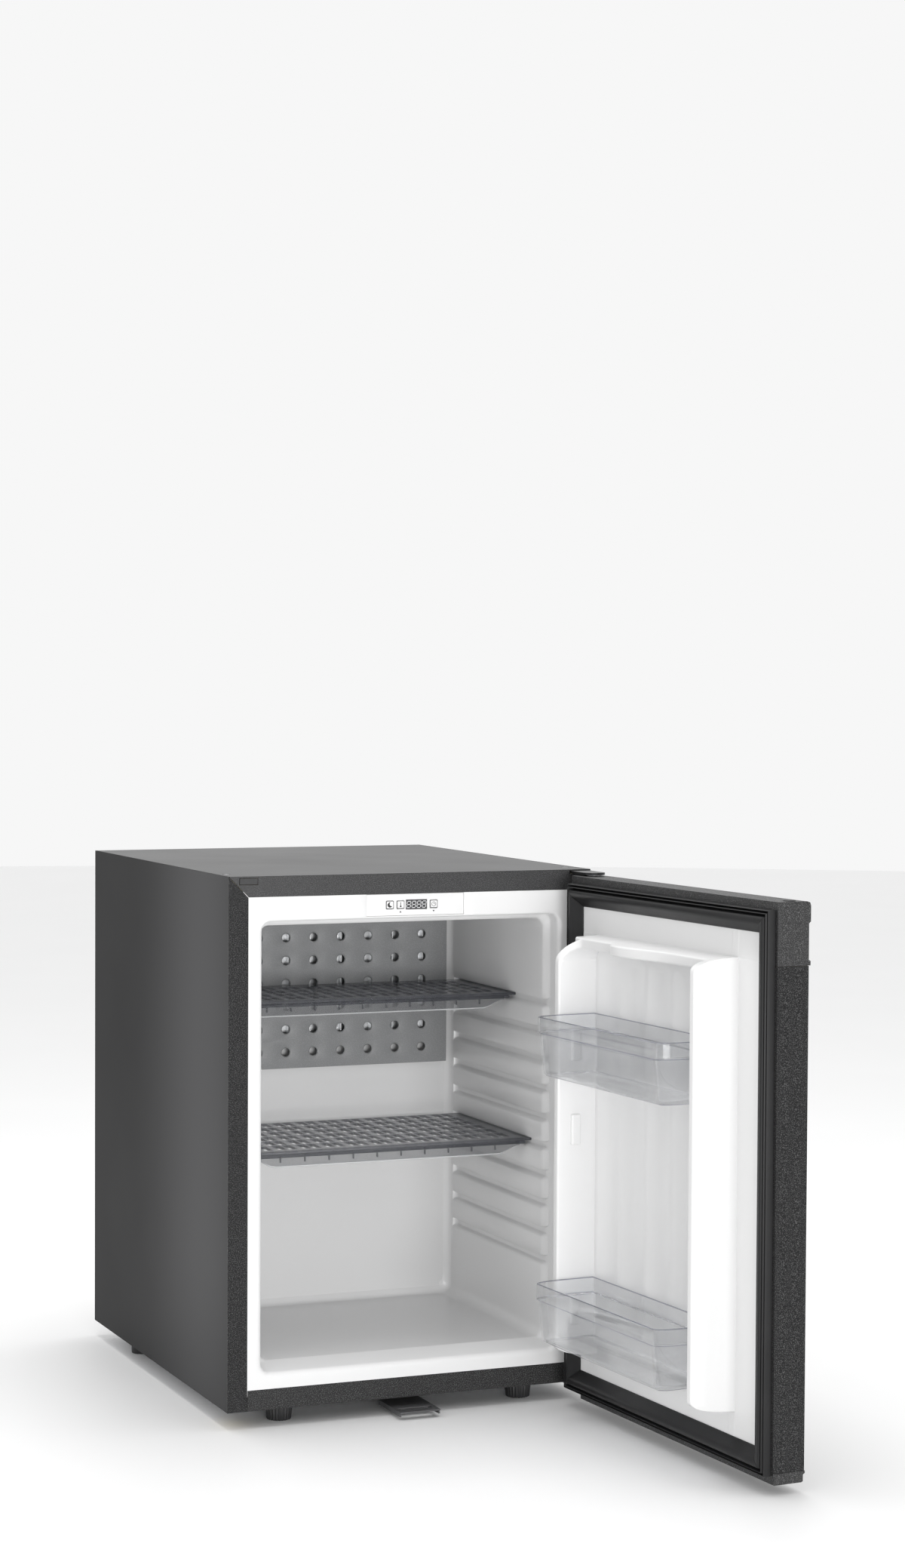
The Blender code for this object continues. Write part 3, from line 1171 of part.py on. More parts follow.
def build_door_skin():
    """Outer steel skin of the door, folded round both edges and in behind the seal."""
    path = [
        (-HALF_WIDTH + SKIN_RETURN, DOOR_INSIDE),
        (-HALF_WIDTH, DOOR_INSIDE),
        (-HALF_WIDTH, DOOR_OUTSIDE),
        (HALF_WIDTH, DOOR_OUTSIDE),
        (HALF_WIDTH, DOOR_INSIDE),
        (HALF_WIDTH - SKIN_RETURN, DOOR_INSIDE),
    ]
    low, high = BOTTOM_TRIM_TOP + SEAM, TRIM_LOW - SEAM
    skin = folded_sheet("door_skin", door, path, "z", low, high, DARK_STEEL)
    z = UNDERSIDE + LOCK_Z
    cut(skin, rod("cut_skin_lock", door, (0.0, DOOR_OUTSIDE - SHEET, z), (0.0, DOOR_OUTSIDE + 3 * SHEET, z),
                  LOCK_RADIUS + LOCK_CLEARANCE))


def bush_hole(name, side, low, high):
    """Tool shape for a bush or plug seat on the pin line, or mirrored to the free side."""
    x = side * PIN_X
    return rod(name, door, (x, PIN_Y, low), (x, PIN_Y, high), BUSH_RADIUS + SEAM)


def build_top_trim():
    """Moulded top cap of the door: a proud head, a plain band, a thin rib, and solid ends for the bushes."""
    proud = DOOR_OUTSIDE - TRIM_PROUD
    head = DOOR_HIGH - TOP_TRIM_HEAD
    soft = 2 * TRIM_PROUD
    outline = [
        (DOOR_INSIDE, TRIM_LOW),
        (DOOR_INSIDE, DOOR_HIGH),
        (proud + soft, DOOR_HIGH),
        (proud + soft / 4, DOOR_HIGH - soft / 4),
        (proud, DOOR_HIGH - soft),
        (proud, head),
        (DOOR_OUTSIDE, head - TRIM_PROUD),
        (DOOR_OUTSIDE, TRIM_LOW + TOP_TRIM_RIB + TRIM_PROUD / 2),
        (proud, TRIM_LOW + TOP_TRIM_RIB),
        (proud, TRIM_LOW),
    ]
    trim = slab("door_top_trim", door, outline, "x", -HALF_WIDTH, HALF_WIDTH, BLACK_PLASTIC)
    wall = 2 * SHEET
    inner = PIN_X - 2 * BUSH_RADIUS
    low = (-inner, DOOR_OUTSIDE + wall, TRIM_LOW - SHEET)
    cut(trim, block("cut_trim_hollow", door, low, (inner, DOOR_INSIDE - wall, DOOR_HIGH - wall)))
    window = HALF_WIDTH - SKIN_RETURN
    cut(trim, block("cut_trim_window", door, (-window, DOOR_INSIDE - wall - SEAM, TRIM_LOW - SHEET),
                    (window, DOOR_INSIDE + SHEET, trim_window_high())))
    low = DOOR_HIGH - BUSH_HEIGHT - SEAM
    cut(trim, bush_hole("cut_trim_bush", 1, low, DOOR_HIGH + SHEET))
    plug = [(-PIN_X, PIN_Y, DOOR_HIGH + lift) for lift in (-PLUG_DEPTH - SEAM, SHEET)]
    cut(trim, rod("cut_trim_plug", door, plug[0], plug[1], PLUG_RADIUS * 0.8 + SEAM))


def trim_window_high():
    """Height at which the door liner ends below the top cap's inner edge."""
    return DOOR_HIGH - SEAL_MARGIN_TOP - SEAL_WIDTH / 3


def build_bottom_trim():
    """Moulded bottom cap of the door, notched at the hinge corner for the lower hinge plate."""
    inset = BOTTOM_TRIM_INSET
    rib = BOTTOM_TRIM_TOP - BOTTOM_TRIM_RIB
    outer = DOOR_OUTSIDE + inset
    proud = DOOR_OUTSIDE - BOTTOM_TRIM_PROUD
    outline = [
        (DOOR_INSIDE - inset, DOOR_LOW),
        (DOOR_INSIDE - inset, rib - inset),
        (DOOR_INSIDE, rib),
        (DOOR_INSIDE, BOTTOM_TRIM_TOP),
        (proud, BOTTOM_TRIM_TOP),
        (proud, rib - SEAM),
        (outer, rib - inset - SEAM),
        (outer, DOOR_LOW + inset),
        (outer + inset, DOOR_LOW),
    ]
    trim = slab("door_bottom_trim", door, outline, "x", -HALF_WIDTH, HALF_WIDTH, BLACK_PLASTIC)
    notch_x = PIN_X - HINGE_REACH - 2 * SEAM
    ceiling = LOWER_PLATE_HIGH + 2 * SEAM
    cut(trim, block("cut_trim_notch", door, (notch_x, proud - SHEET, DOOR_LOW - SHEET),
                    (HALF_WIDTH + SHEET, DOOR_INSIDE + SHEET, ceiling)))
    cut(trim, bush_hole("cut_bottom_bush", 1, DOOR_LOW - SHEET, BOTTOM_TRIM_TOP + SHEET))
    cut(trim, bolt_slot("cut_trim_bolt"))
    z = UNDERSIDE + LOCK_Z
    if z - LOCK_RADIUS < BOTTOM_TRIM_TOP + 2 * SEAM:
        cut(trim, rod("cut_trim_lock", door, (0.0, proud - SHEET, z), (0.0, lock_back() + SEAM, z),
                      LOCK_RADIUS + LOCK_CLEARANCE))


def bush(name, low, high):
    """Sleeve round a hinge pin, carried by the door."""
    bore = PIN_RADIUS + PIN_CLEARANCE
    profile = [(BUSH_RADIUS, high), (BUSH_RADIUS, low), (bore, low), (bore, high)]
    turned(name, door, (PIN_X, PIN_Y, 0.0), profile, WHITE_PLASTIC, 16, True)


def build_bushes_and_plug():
    """Bushes on both hinge pins and the round plug in the door top's spare seat."""
    bush("door_bush_top", DOOR_HIGH - BUSH_HEIGHT, DOOR_HIGH)
    bush("door_bush_bottom", LOWER_PLATE_HIGH + SEAM, LOWER_PLATE_HIGH + SEAM + 1.5 * PIN_LENGTH)
    seat = DOOR_HIGH + SEAM
    profile = [
        (0.0, seat + PLUG_PROUD),
        (PLUG_RADIUS - PLUG_PROUD / 2, seat + PLUG_PROUD),
        (PLUG_RADIUS, seat + PLUG_PROUD / 2),
        (PLUG_RADIUS, seat),
        (PLUG_RADIUS * 0.8, seat),
        (PLUG_RADIUS * 0.8, DOOR_HIGH - PLUG_DEPTH),
        (0.0, DOOR_HIGH - PLUG_DEPTH),
    ]
    turned("door_plug", door, (-PIN_X, PIN_Y, 0.0), profile, BLACK_PLASTIC, 20)


def lock_back():
    """Inner end of the lock cylinder, just in front of the bolt."""
    return bolt_front() - SEAM


def bolt_front():
    """Outer face of the bolt, which goes down into the catch's slot when the door is shut."""
    return -CATCH_SLOT_FROM_END + BOLT_CLEARANCE


def bolt_slot(name):
    """Tool shape for the guide that the lock bolt slides in."""
    half = BOLT_WIDTH / 2 + BOLT_CLEARANCE
    low = (-half, bolt_front() - SEAM, DOOR_LOW - SHEET)
    high = (half, bolt_front() + BOLT_THICKNESS + SEAM, DOOR_LOW + BOLT_HEIGHT + 2 * BOLT_CLEARANCE)
    return block(name, door, low, high)


def build_lock():
    """Lock cylinder through the door's skin and the flat bolt that it drives down into the catch."""
    z = UNDERSIDE + LOCK_Z
    front = DOOR_OUTSIDE - LOCK_PROUD
    barrel = Group("lock_pivot", (0.0, front, z), door)
    cylinder = rod("lock_cylinder", barrel, (0.0, front, z), (0.0, lock_back(), z), LOCK_RADIUS, PIN_STEEL, 20)
    key_low = (-KEYHOLE_WIDTH / 2, front - SHEET, z - KEYHOLE_HEIGHT / 2)
    key_high = (KEYHOLE_WIDTH / 2, front + KEYHOLE_DEPTH, z + KEYHOLE_HEIGHT / 2)
    cut(cylinder, block("cut_keyhole", barrel, key_low, key_high))
    guide = Group("bolt_slide", (0.0, bolt_front(), DOOR_LOW), door)
    half = BOLT_WIDTH / 2
    low = (-half, bolt_front(), DOOR_LOW + SEAM)
    block("lock_bolt", guide, low, (half, bolt_front() + BOLT_THICKNESS, DOOR_LOW + BOLT_HEIGHT), CATCH_STEEL)


def build_door_foam():
    """Insulation that fills the door between its skin, caps and liner."""
    back = DOOR_INSIDE - DOOR_LINER_SHEET - SEAM
    front = DOOR_OUTSIDE + SHEET + SEAM
    foam_top = TRIM_LOW - SEAM
    low = (-INSIDE_X, front, BOTTOM_TRIM_TOP + SEAM)
    foam = block("door_foam", door, low, (INSIDE_X, back, foam_top), FOAM)
    inner = PIN_X - 2 * BUSH_RADIUS - SEAM
    wall = 2 * SHEET + SEAM
    fuse(foam, block("add_foam_head", door, (-inner, DOOR_OUTSIDE + wall, foam_top - SHEET),
                     (inner, DOOR_INSIDE - wall, DOOR_HIGH - wall)))
    cut(foam, bush_hole("cut_foam_bush", 1, DOOR_LOW, LOWER_PLATE_HIGH + 2 * SEAM + 1.5 * PIN_LENGTH))
    z = UNDERSIDE + LOCK_Z
    cut(foam, rod("cut_foam_lock", door, (0.0, DOOR_OUTSIDE - SHEET, z), (0.0, lock_back() + SEAM, z),
                  LOCK_RADIUS + LOCK_CLEARANCE), bolt_slot("cut_foam_bolt"))


def dam_loops(outer, inward, reach, low, high):
    """Loops of a dam's tapered section, carried up it with round upper and lower ends.

    The section narrows away from the door; the ends turn back to the door with the dam's corner radius.
    """
    steps = 4
    stations = []
    for index in range(steps + 1):
        turn = math.pi / 2 * index / steps
        stations.append((low + DAM_CORNER * (1 - math.sin(turn)), reach - DAM_CORNER * (1 - math.cos(turn))))
    stations.reverse()
    upper = [(high - (z - low), out) for z, out in reversed(stations)]
    loops = []
    for z, out in stations + upper:
        share = out / reach
        draft = DAM_DRAFT * share
        soft = min(0.25 * DAM_THICKNESS, 0.2 * out)
        tip = DOOR_INSIDE + out
        foot = DOOR_INSIDE - DOOR_LINER_SHEET / 2
        near = outer + inward * draft
        far = outer + inward * (DAM_THICKNESS + 2 * DAM_DRAFT - draft)
        loops.append([
            (outer, foot, z),
            (near, tip - soft, z),
            (near + inward * soft, tip, z),
            (far - inward * soft, tip, z),
            (far, tip - soft, z),
            (outer + inward * (DAM_THICKNESS + 2 * DAM_DRAFT), foot, z),
        ])
    return loops


def fluted_outline():
    """Outline in X and Y of the recess back: shallow hollow bands between narrow flat ridges."""
    left, right = DAM_FREE_FOOT - SHEET, DAM_HINGE_FOOT + SHEET
    face = DOOR_INSIDE + BACK_PAD
    foot = DOOR_INSIDE - DOOR_LINER_SHEET / 2
    pitch = FLUTE_WIDTH + FLUTE_RIDGE
    count = int((right - left) // pitch)
    start = (left + right - count * pitch + FLUTE_RIDGE) / 2
    points = [(right, foot), (right, face)]
    for index in reversed(range(count)):
        first = start + index * pitch
        for step in range(6, -1, -1):
            share = step / 6
            points.append((first + FLUTE_WIDTH * share, face - FLUTE_DEPTH * math.sin(math.pi * share)))
    points += [(left, face), (left, foot)]
    return points


def lug_corners(side, top):
    """Corners of an upright lug on a dam's inner flank, whose top carries a rack's band."""
    out = DOOR_INSIDE + LUG_FROM_FACE
    share = LUG_FROM_FACE / DAM_HEIGHT
    flank = DAM_FREE_FOOT - DAM_DRAFT * share if side < 0 else DAM_HINGE_FOOT + DAM_DRAFT * share
    inner = flank - side * LUG_REACH
    return ((flank + side * DAM_THICKNESS / 3, out - LUG_WIDTH / 2, top - LUG_HEIGHT),
            (inner, out + LUG_WIDTH / 2, top))


def build_door_liner():
    """Inner skin of the door: base sheet, two dams, fluted recess back, top rail with lobe, and rack lugs."""
    half = HALF_WIDTH - SKIN_RETURN - SEAM
    low, high = BOTTOM_TRIM_TOP + SEAM, trim_window_high() - SEAM
    liner = block("door_liner", door, (-half, DOOR_INSIDE - DOOR_LINER_SHEET, low), (half, DOOR_INSIDE, high),
                  WHITE_PLASTIC)
    outer_free, outer_hinge = -HALF_WIDTH + DAM_OUTER_FREE, HALF_WIDTH - DAM_OUTER_HINGE
    fuse(
        liner,
        loft("add_dam_free", door, dam_loops(outer_free, 1, DAM_HEIGHT, DAM_LOW, DAM_HIGH)),
        loft("add_dam_hinge", door, dam_loops(outer_hinge, -1, DAM_HEIGHT, DAM_LOW, DAM_HIGH)),
    )
    rail_low = DAM_HIGH - RAIL_HEIGHT
    pad_low = DAM_LOW + DAM_CORNER
    fuse(liner, slab("add_fluted_back", door, fluted_outline(), "z", pad_low, rail_low + SHEET))
    soft = RAIL_HEIGHT / 4
    foot = DOOR_INSIDE - DOOR_LINER_SHEET / 2
    tip = DOOR_INSIDE + RAIL_REACH
    section = [
        (foot, rail_low),
        (tip - soft, rail_low),
        (tip, rail_low + soft),
        (tip, DAM_HIGH - 2 * soft),
        (tip - 2 * soft, DAM_HIGH - soft / 2),
        (foot, DAM_HIGH - soft / 4),
    ]
    inward = DAM_THICKNESS / 2
    fuse(liner, slab("add_top_rail", door, section, "x", DAM_FREE_FOOT - inward, DAM_HINGE_FOOT + inward))
    lobe_tip = LOBE_REACH - RAIL_REACH / 2
    lobe = [(LOBE_PLACE + LOBE_WIDTH / 2 * math.cos(math.pi * step / 10),
             tip - RAIL_REACH / 2 + lobe_tip * math.sin(math.pi * step / 10)) for step in range(11)]
    fuse(liner, slab("add_lobe", door, lobe, "z", rail_low + soft / 2, DAM_HIGH - soft))
    base_rail = [
        (foot, pad_low - RAIL_HEIGHT),
        (DOOR_INSIDE + BACK_PAD, pad_low - RAIL_HEIGHT / 2),
        (DOOR_INSIDE + BACK_PAD, pad_low + SHEET),
        (foot, pad_low + SHEET),
    ]
    fuse(liner, slab("add_base_rail", door, base_rail, "x", DAM_FREE_FOOT - inward, DAM_HINGE_FOOT + inward))
    tops = [rim - RACK_BAND_HEIGHT - SEAM for name, rim in RACK_RIMS] + [SPARE_LUG_TOP]
    for side in (-1, 1):
        fuse(liner, boxes("add_lugs_%d" % side, door, [lug_corners(side, top) for top in tops]))


def build_seal():
    """Moulded door seal: a bevelled cushion with a thin outer lip, mitred at the corners."""
    foot = DOOR_INSIDE + SEAM
    crown = -SEAL_CLOSED_GAP
    rise = crown - foot
    width = SEAL_WIDTH
    section = [
        (0.0, foot),
        (0.06 * width, foot + 0.35 * rise),
        (0.12 * width, foot + 0.78 * rise),
        (0.24 * width, crown),
        (0.52 * width, crown),
        (0.66 * width, foot + 0.86 * rise),
        (0.86 * width, foot + 0.42 * rise),
        (width, foot + 0.16 * rise),
        (width, foot),
    ]
    mitred_frame("door_seal", door, HALF_WIDTH - SEAL_MARGIN_SIDE, DOOR_LOW + SEAL_MARGIN_BOTTOM,
                 DOOR_HIGH - SEAL_MARGIN_TOP, section, RUBBER)


def rack_outline(inset, front, narrow):
    """Outline in X and Y of a rack: square at the back, with drawn-in, rounded ends at the front."""
    left = DAM_FREE_FOOT + RACK_SIDE_GAP + narrow + inset
    right = DAM_HINGE_FOOT - RACK_SIDE_GAP - narrow - inset
    back = RACK_BACK + inset
    tip = front - inset
    shoulder = front - RACK_CHAMFER_Y
    corner = [(1.0, 0.0), (0.80, 0.42), (0.45, 0.80), (0.0, 1.0)]
    right_side = [(right - RACK_CHAMFER_X * (1 - u), shoulder + (tip - shoulder) * v) for u, v in corner]
    left_side = [(left + RACK_CHAMFER_X * (1 - u), shoulder + (tip - shoulder) * v) for u, v in reversed(corner)]
    return [(right, back), *right_side, *left_side, (left, back)]


def build_racks():
    """Clear open-topped door racks: tapered tray with a proud band round its rim, resting on lugs."""
    for name, rim_z in RACK_RIMS:
        floor_z = rim_z - RACK_HEIGHT
        band_z = rim_z - RACK_BAND_HEIGHT
        group = Group(name + "_lift", (0.0, RACK_BACK, band_z), door)
        front = DOOR_INSIDE + RACK_REACH
        narrow = LUG_REACH + RACK_BAND_PROUD

        def ring(z, inset, tight, reach):
            return [(x, y, z) for x, y in rack_outline(inset, reach, tight)]

        soft = RACK_TAPER
        rack = loft(name, group, [
            ring(floor_z, soft, narrow, front - RACK_BAND_PROUD - RACK_TAPER),
            ring(floor_z + soft, 0.0, narrow, front - RACK_BAND_PROUD - RACK_TAPER),
            ring(band_z + SHEET, 0.0, narrow, front - RACK_BAND_PROUD),
        ], CLEAR)
        fuse(rack, loft("add_band_" + name, group, [
            ring(band_z, 0.0, 0.0, front),
            ring(rim_z, 0.0, 0.0, front),
        ]))
        wall = RACK_WALL
        cut(rack, loft("cut_inside_" + name, group, [
            ring(floor_z + wall, wall + soft, narrow, front - RACK_BAND_PROUD - RACK_TAPER),
            ring(floor_z + wall + soft, wall, narrow, front - RACK_BAND_PROUD - RACK_TAPER),
            ring(rim_z + SHEET, wall, narrow, front - RACK_BAND_PROUD),
        ]))


def skirt_outline(half, top):
    """Outline in X and Z of a shelf's front skirt, whose lower edge sweeps up to the bar at both ends."""
    low = top - SHELF_SKIRT
    run = SHELF_SKIRT_INSET
    points = [(half - run, low)]
    for step in range(1, 7):
        share = step / 6
        rise = (1 - math.cos(math.pi * share)) / 2
        points.append((half - run * (1 - share) - SHELF_BAR_WIDTH * share, low + (SHELF_SKIRT - SHELF_EDGE) * rise))
    points.append((half - SHELF_BAR_WIDTH, top))
    return points + [(-x, z) for x, z in reversed(points)]


def build_shelves():
    """Smoky moulded grid shelves: slotted plate, front bar, ribbed front skirt and edges for the grooves."""
    half = CAVITY_X + GROOVE_DEPTH - SHELF_SIDE_GAP
    back = PLATE_FRONT - SHELF_BACK_GAP
    for name, groove, depth in SHELVES:
        front = back - depth
        groove_low = GROOVE_TOP - groove * GROOVE_PITCH - GROOVE_HEIGHT
        low = groove_low + SHELF_SEAT_GAP
        top = low + SHELF_EDGE
        group = Group(name + "_slide", (0.0, front, low), cabinet)
        inner = CAVITY_X - 4 * SHELF_SIDE_GAP
        first = front + 2 * SHELF_BAR_WIDTH
        rows = int((back - first) // SHELF_HOLE_PITCH_Y)
        columns = int(2 * (inner - SHELF_BAR_WIDTH) // SHELF_RIB_PITCH)
        holes = []
        for row in range(rows):
            for column in range(columns):
                x = (column - (columns - 1) / 2) * SHELF_RIB_PITCH
                y = first + (row + 0.5) * SHELF_HOLE_PITCH_Y
                holes.append(((x - SHELF_HOLE_WIDTH / 2, y - SHELF_HOLE_DEPTH / 2, low - SHELF_EDGE),
                              (x + SHELF_HOLE_WIDTH / 2, y + SHELF_HOLE_DEPTH / 2, top + SHELF_EDGE)))
        shelf = block(name, group, (-half, front, low), (half, back, top), SMOKY)
        cut(shelf, boxes("cut_slots_" + name, group, holes))
        bar = block("add_bar_" + name, group, (-inner, front + SHEET / 2, top - SHELF_BAR),
                    (inner, front + SHELF_BAR_WIDTH, top - SHEET / 2))
        skirt_front = front + SHELF_BAR_WIDTH / 2
        skirt = slab("add_skirt_" + name, group, skirt_outline(inner, top - SHEET), "y", skirt_front,
                     skirt_front + SHELF_SKIRT_WALL)
        ribs = []
        for column in range(columns + 1):
            x = (column - columns / 2) * SHELF_RIB_PITCH
            if abs(x) < inner - SHELF_SKIRT_INSET:
                ribs.append(((x - SHELF_RIB_WALL / 2, skirt_front - SHEET / 2, top - SHELF_SKIRT),
                             (x + SHELF_RIB_WALL / 2, skirt_front + 2 * SHELF_SKIRT_WALL, top - SHELF_BAR / 2)))
        fuse(shelf, bar, skirt, boxes("add_ribs_" + name, group, ribs))


build_side_panels()
build_top_panel()
build_front_rail()
build_base_panel()
build_inner_liner()
build_insulation()
build_back_panel()
build_rear_plate()
build_evaporator()
build_control_panel()
build_buttons()
build_hinges()
build_top_screws()
build_flange_plug()
build_catch()
build_feet()
build_cooling_unit()
build_unit_pipes()
build_straps()
build_terminal_box()
build_door_skin()
build_top_trim()
build_bottom_trim()
build_bushes_and_plug()
build_lock()
build_door_foam()
build_door_liner()
build_seal()
build_racks()
build_shelves()
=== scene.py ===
"""Dressed scene of a small absorption fridge that stands with its door open on a pale floor.

Lengths are in metres and +Z is up. Pieces of the cabinet are drawn in the cabinet's own frame: x from its
middle, y from the front flange towards the back, z from the floor. Pieces of the door are drawn with the
door shut in that frame and swung on the hinge pin afterwards.
"""
import sys

import json
import logging
import math
from abc import ABC, abstractmethod
from dataclasses import dataclass
from enum import Enum
from typing import Callable, Optional, Sequence, Union

import bmesh
import bpy
import numpy as np
from mathutils import Matrix, Vector


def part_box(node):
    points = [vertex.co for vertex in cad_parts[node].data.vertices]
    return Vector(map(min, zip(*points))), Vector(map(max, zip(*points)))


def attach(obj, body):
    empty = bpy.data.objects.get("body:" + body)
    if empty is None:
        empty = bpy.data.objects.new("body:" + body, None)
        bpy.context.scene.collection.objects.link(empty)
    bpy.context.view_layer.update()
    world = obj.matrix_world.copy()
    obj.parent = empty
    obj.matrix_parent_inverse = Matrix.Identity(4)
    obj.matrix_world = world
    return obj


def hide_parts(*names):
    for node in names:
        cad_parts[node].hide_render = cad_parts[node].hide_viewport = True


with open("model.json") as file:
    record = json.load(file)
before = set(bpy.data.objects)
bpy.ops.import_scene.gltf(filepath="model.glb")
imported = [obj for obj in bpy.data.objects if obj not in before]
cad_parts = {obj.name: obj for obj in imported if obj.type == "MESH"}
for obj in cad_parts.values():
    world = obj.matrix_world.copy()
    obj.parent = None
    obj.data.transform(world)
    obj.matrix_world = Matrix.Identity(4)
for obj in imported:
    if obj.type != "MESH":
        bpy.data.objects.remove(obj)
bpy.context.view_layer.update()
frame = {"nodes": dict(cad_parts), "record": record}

LOG = logging.getLogger("minibar")
Points = np.ndarray
Triple = tuple[float, float, float]
Profile = tuple[tuple[float, float], ...]

SHEET = 0.0012  # wall of the formed white sheets
BEVEL_ANGLE = math.radians(35)  # edges sharper than this take a bevel
WELD = 2e-6  # points nearer than this become one
FLAT = 1e-7  # edges shorter than this are dissolved
CORNER_SPARE = 1.02  # a block's corner radius over its edge rounding, so that no corner shrinks to a point
LEAST_RADIUS = 1e-5


@dataclass(frozen=True)
class Placement:
    """A turn about an upright line, then a move, that takes drawing coordinates to the shared frame."""

    pivot: tuple[float, float] = (0.0, 0.0)
    angle: float = 0.0
    target: tuple[float, float] = (0.0, 0.0)

    def apply(self, points: Points) -> Points:
        """Turn and move points.

        Args:
            points: array whose last axis is x, y, z in drawing coordinates.

        Returns:
            The same array in the shared frame.
        """
        cos, sin = math.cos(self.angle), math.sin(self.angle)
        x, y = points[..., 0] - self.pivot[0], points[..., 1] - self.pivot[1]
        return np.stack([self.target[0] + cos * x - sin * y, self.target[1] + sin * x + cos * y, points[..., 2]], -1)


CABINET = Placement(target=(-0.01441, -0.029673))
DOOR = Placement(pivot=(0.19, -0.0302), angle=math.radians(93.35), target=(0.17559, -0.059873))


class Shell:
    """A mesh gathered from several grids and rims before it becomes one object."""

    def __init__(self, placement: Placement) -> None:
        """Start with no points.

        Args:
            placement: where drawing coordinates go.
        """
        self.placement = placement
        self.points: list[Points] = []
        self.quads: list[Points] = []
        self.caps: list[list[int]] = []
        self.count = 0

    def grid(self, points: Points, around: bool = False, along: bool = False, flip: bool = False,
             keep: Optional[Points] = None, ends: bool = False) -> "Shell":
        """Add a grid of points as quads: row i, column j joins i + 1 and j + 1.

        Args:
            points: array of shape (rows, columns, 3).
            around: whether the last column joins the first.
            along: whether the last row joins the first.
            flip: whether the faces' winding is turned round.
            keep: optional mask of shape (rows, columns) of the quads that stay.
            ends: whether the first and last rows are closed with one face each.

        Returns:
            The shell itself.
        """
        rows, columns = points.shape[:2]
        index = np.arange(rows * columns).reshape(rows, columns) + self.count
        a = index if along else index[:-1]
        b = np.roll(index, -1, 0) if along else index[1:]
        if around:
            a2, b2 = np.roll(a, -1, 1), np.roll(b, -1, 1)
        else:
            a, a2, b, b2 = a[:, :-1], a[:, 1:], b[:, :-1], b[:, 1:]
        quads = np.stack([a, a2, b2, b], -1)
        if keep is not None:
            quads = quads[keep[:quads.shape[0], :quads.shape[1]]]
        quads = quads.reshape(-1, 4)
        self.quads.append(quads[:, ::-1] if flip else quads)
        if ends:
            first, last = index[0].tolist(), index[-1].tolist()
            self.caps += [first, last[::-1]] if flip else [first[::-1], last]
        self.points.append(points.reshape(-1, 3))
        self.count += rows * columns
        return self

    def build(self, name: str, material: bpy.types.Material, smooth: float = 40.0, bevel: float = 0.0,
              wall: float = 0.0, marks: Optional[Points] = None) -> bpy.types.Object:
        """Make the object, weld doubles, turn faces outward and shade it.

        Args:
            name: the piece's name.
            material: its finish.
            smooth: angle in degrees under which neighbouring faces shade as one surface.
            bevel: width of an edge rounding, or 0.
            wall: thickness given to an open sheet, behind its faces, or 0.
            marks: optional share for each point, kept as the attribute "edge".

        Returns:
            The finished object.
        """
        verts = self.placement.apply(np.concatenate(self.points))
        quads = np.concatenate(self.quads)
        used = np.zeros(len(verts), bool)
        used[quads] = True
        used[[index for cap in self.caps for index in cap]] = True
        order = np.cumsum(used) - 1
        mesh = bpy.data.meshes.new(name)
        mesh.from_pydata(verts[used].tolist(), [], order[quads].tolist() + [order[cap].tolist() for cap in self.caps])
        if marks is not None:
            mesh.attributes.new("edge", "FLOAT", "POINT").data.foreach_set("value", marks.ravel()[used])
        tidy_mesh(mesh, smooth, wall == 0.0)
        piece = bpy.data.objects.new(name, mesh)
        bpy.context.scene.collection.objects.link(piece)
        piece.data.materials.append(material)
        if wall:
            solid = piece.modifiers.new("wall", "SOLIDIFY")
            solid.thickness = wall
            solid.offset = -1.0
        if bevel:
            round_off = piece.modifiers.new("edges", "BEVEL")
            round_off.width = bevel
            round_off.segments = 2
            round_off.limit_method = "ANGLE"
            round_off.angle_limit = BEVEL_ANGLE
        return piece

    def strip(self, rows: Sequence[Points], around: bool = False) -> None:
        """Add a closed section carried along lines of points, with a face at each end of the lines.

        Args:
            rows: one line for each corner of the section, each of shape (count, 3).
            around: whether the lines close on themselves, so that there are no ends.
        """
        self.grid(np.stack(rows), around=around, along=True)
        if not around:
            count = len(rows[0])
            ends = self.count + (np.arange(len(rows)) - len(rows)) * count
            self.caps += [ends.tolist(), (ends + count - 1).tolist()[::-1]]

    def settle(self, name: str, body: str, finish: "Finish", smooth: float, *nodes: str, slot: str = "",
               bevel: float = 0.0, wall: float = 0.0, marks: Optional[Points] = None) -> None:
        """Make the object with its finish, tie it to its body, and hide the solids it stands for.

        Args:
            name, smooth, bevel, wall, marks: as for build.
            body: name of the body that carries it.
            finish: its finish.
            nodes: solids that the piece takes the place of.
            slot: name of the finish slot, where it isn't the finish's own; not used.
        """
        piece = self.build(name, finish.get(), smooth, bevel, wall, marks)
        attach(piece, body)
        if nodes:
            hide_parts(*nodes)
        LOG.info("%s on %s", name, body)


def tidy_mesh(mesh: bpy.types.Mesh, smooth: float, outward: bool) -> None:
    """Weld doubled points, turn faces outward and mark sharp edges.

    Args:
        mesh: the mesh to tidy.
        smooth: angle in degrees under which neighbouring faces shade as one surface.
        outward: whether the faces' directions are worked out again.
    """
    bm = bmesh.new()
    bm.from_mesh(mesh)
    bmesh.ops.remove_doubles(bm, verts=bm.verts, dist=WELD)
    bmesh.ops.dissolve_degenerate(bm, edges=bm.edges, dist=FLAT)
    if outward:
        bmesh.ops.recalc_face_normals(bm, faces=bm.faces)
    bm.to_mesh(mesh)
    bm.free()
    mesh.shade_smooth()
    mesh.set_sharp_from_angle(angle=math.radians(smooth))


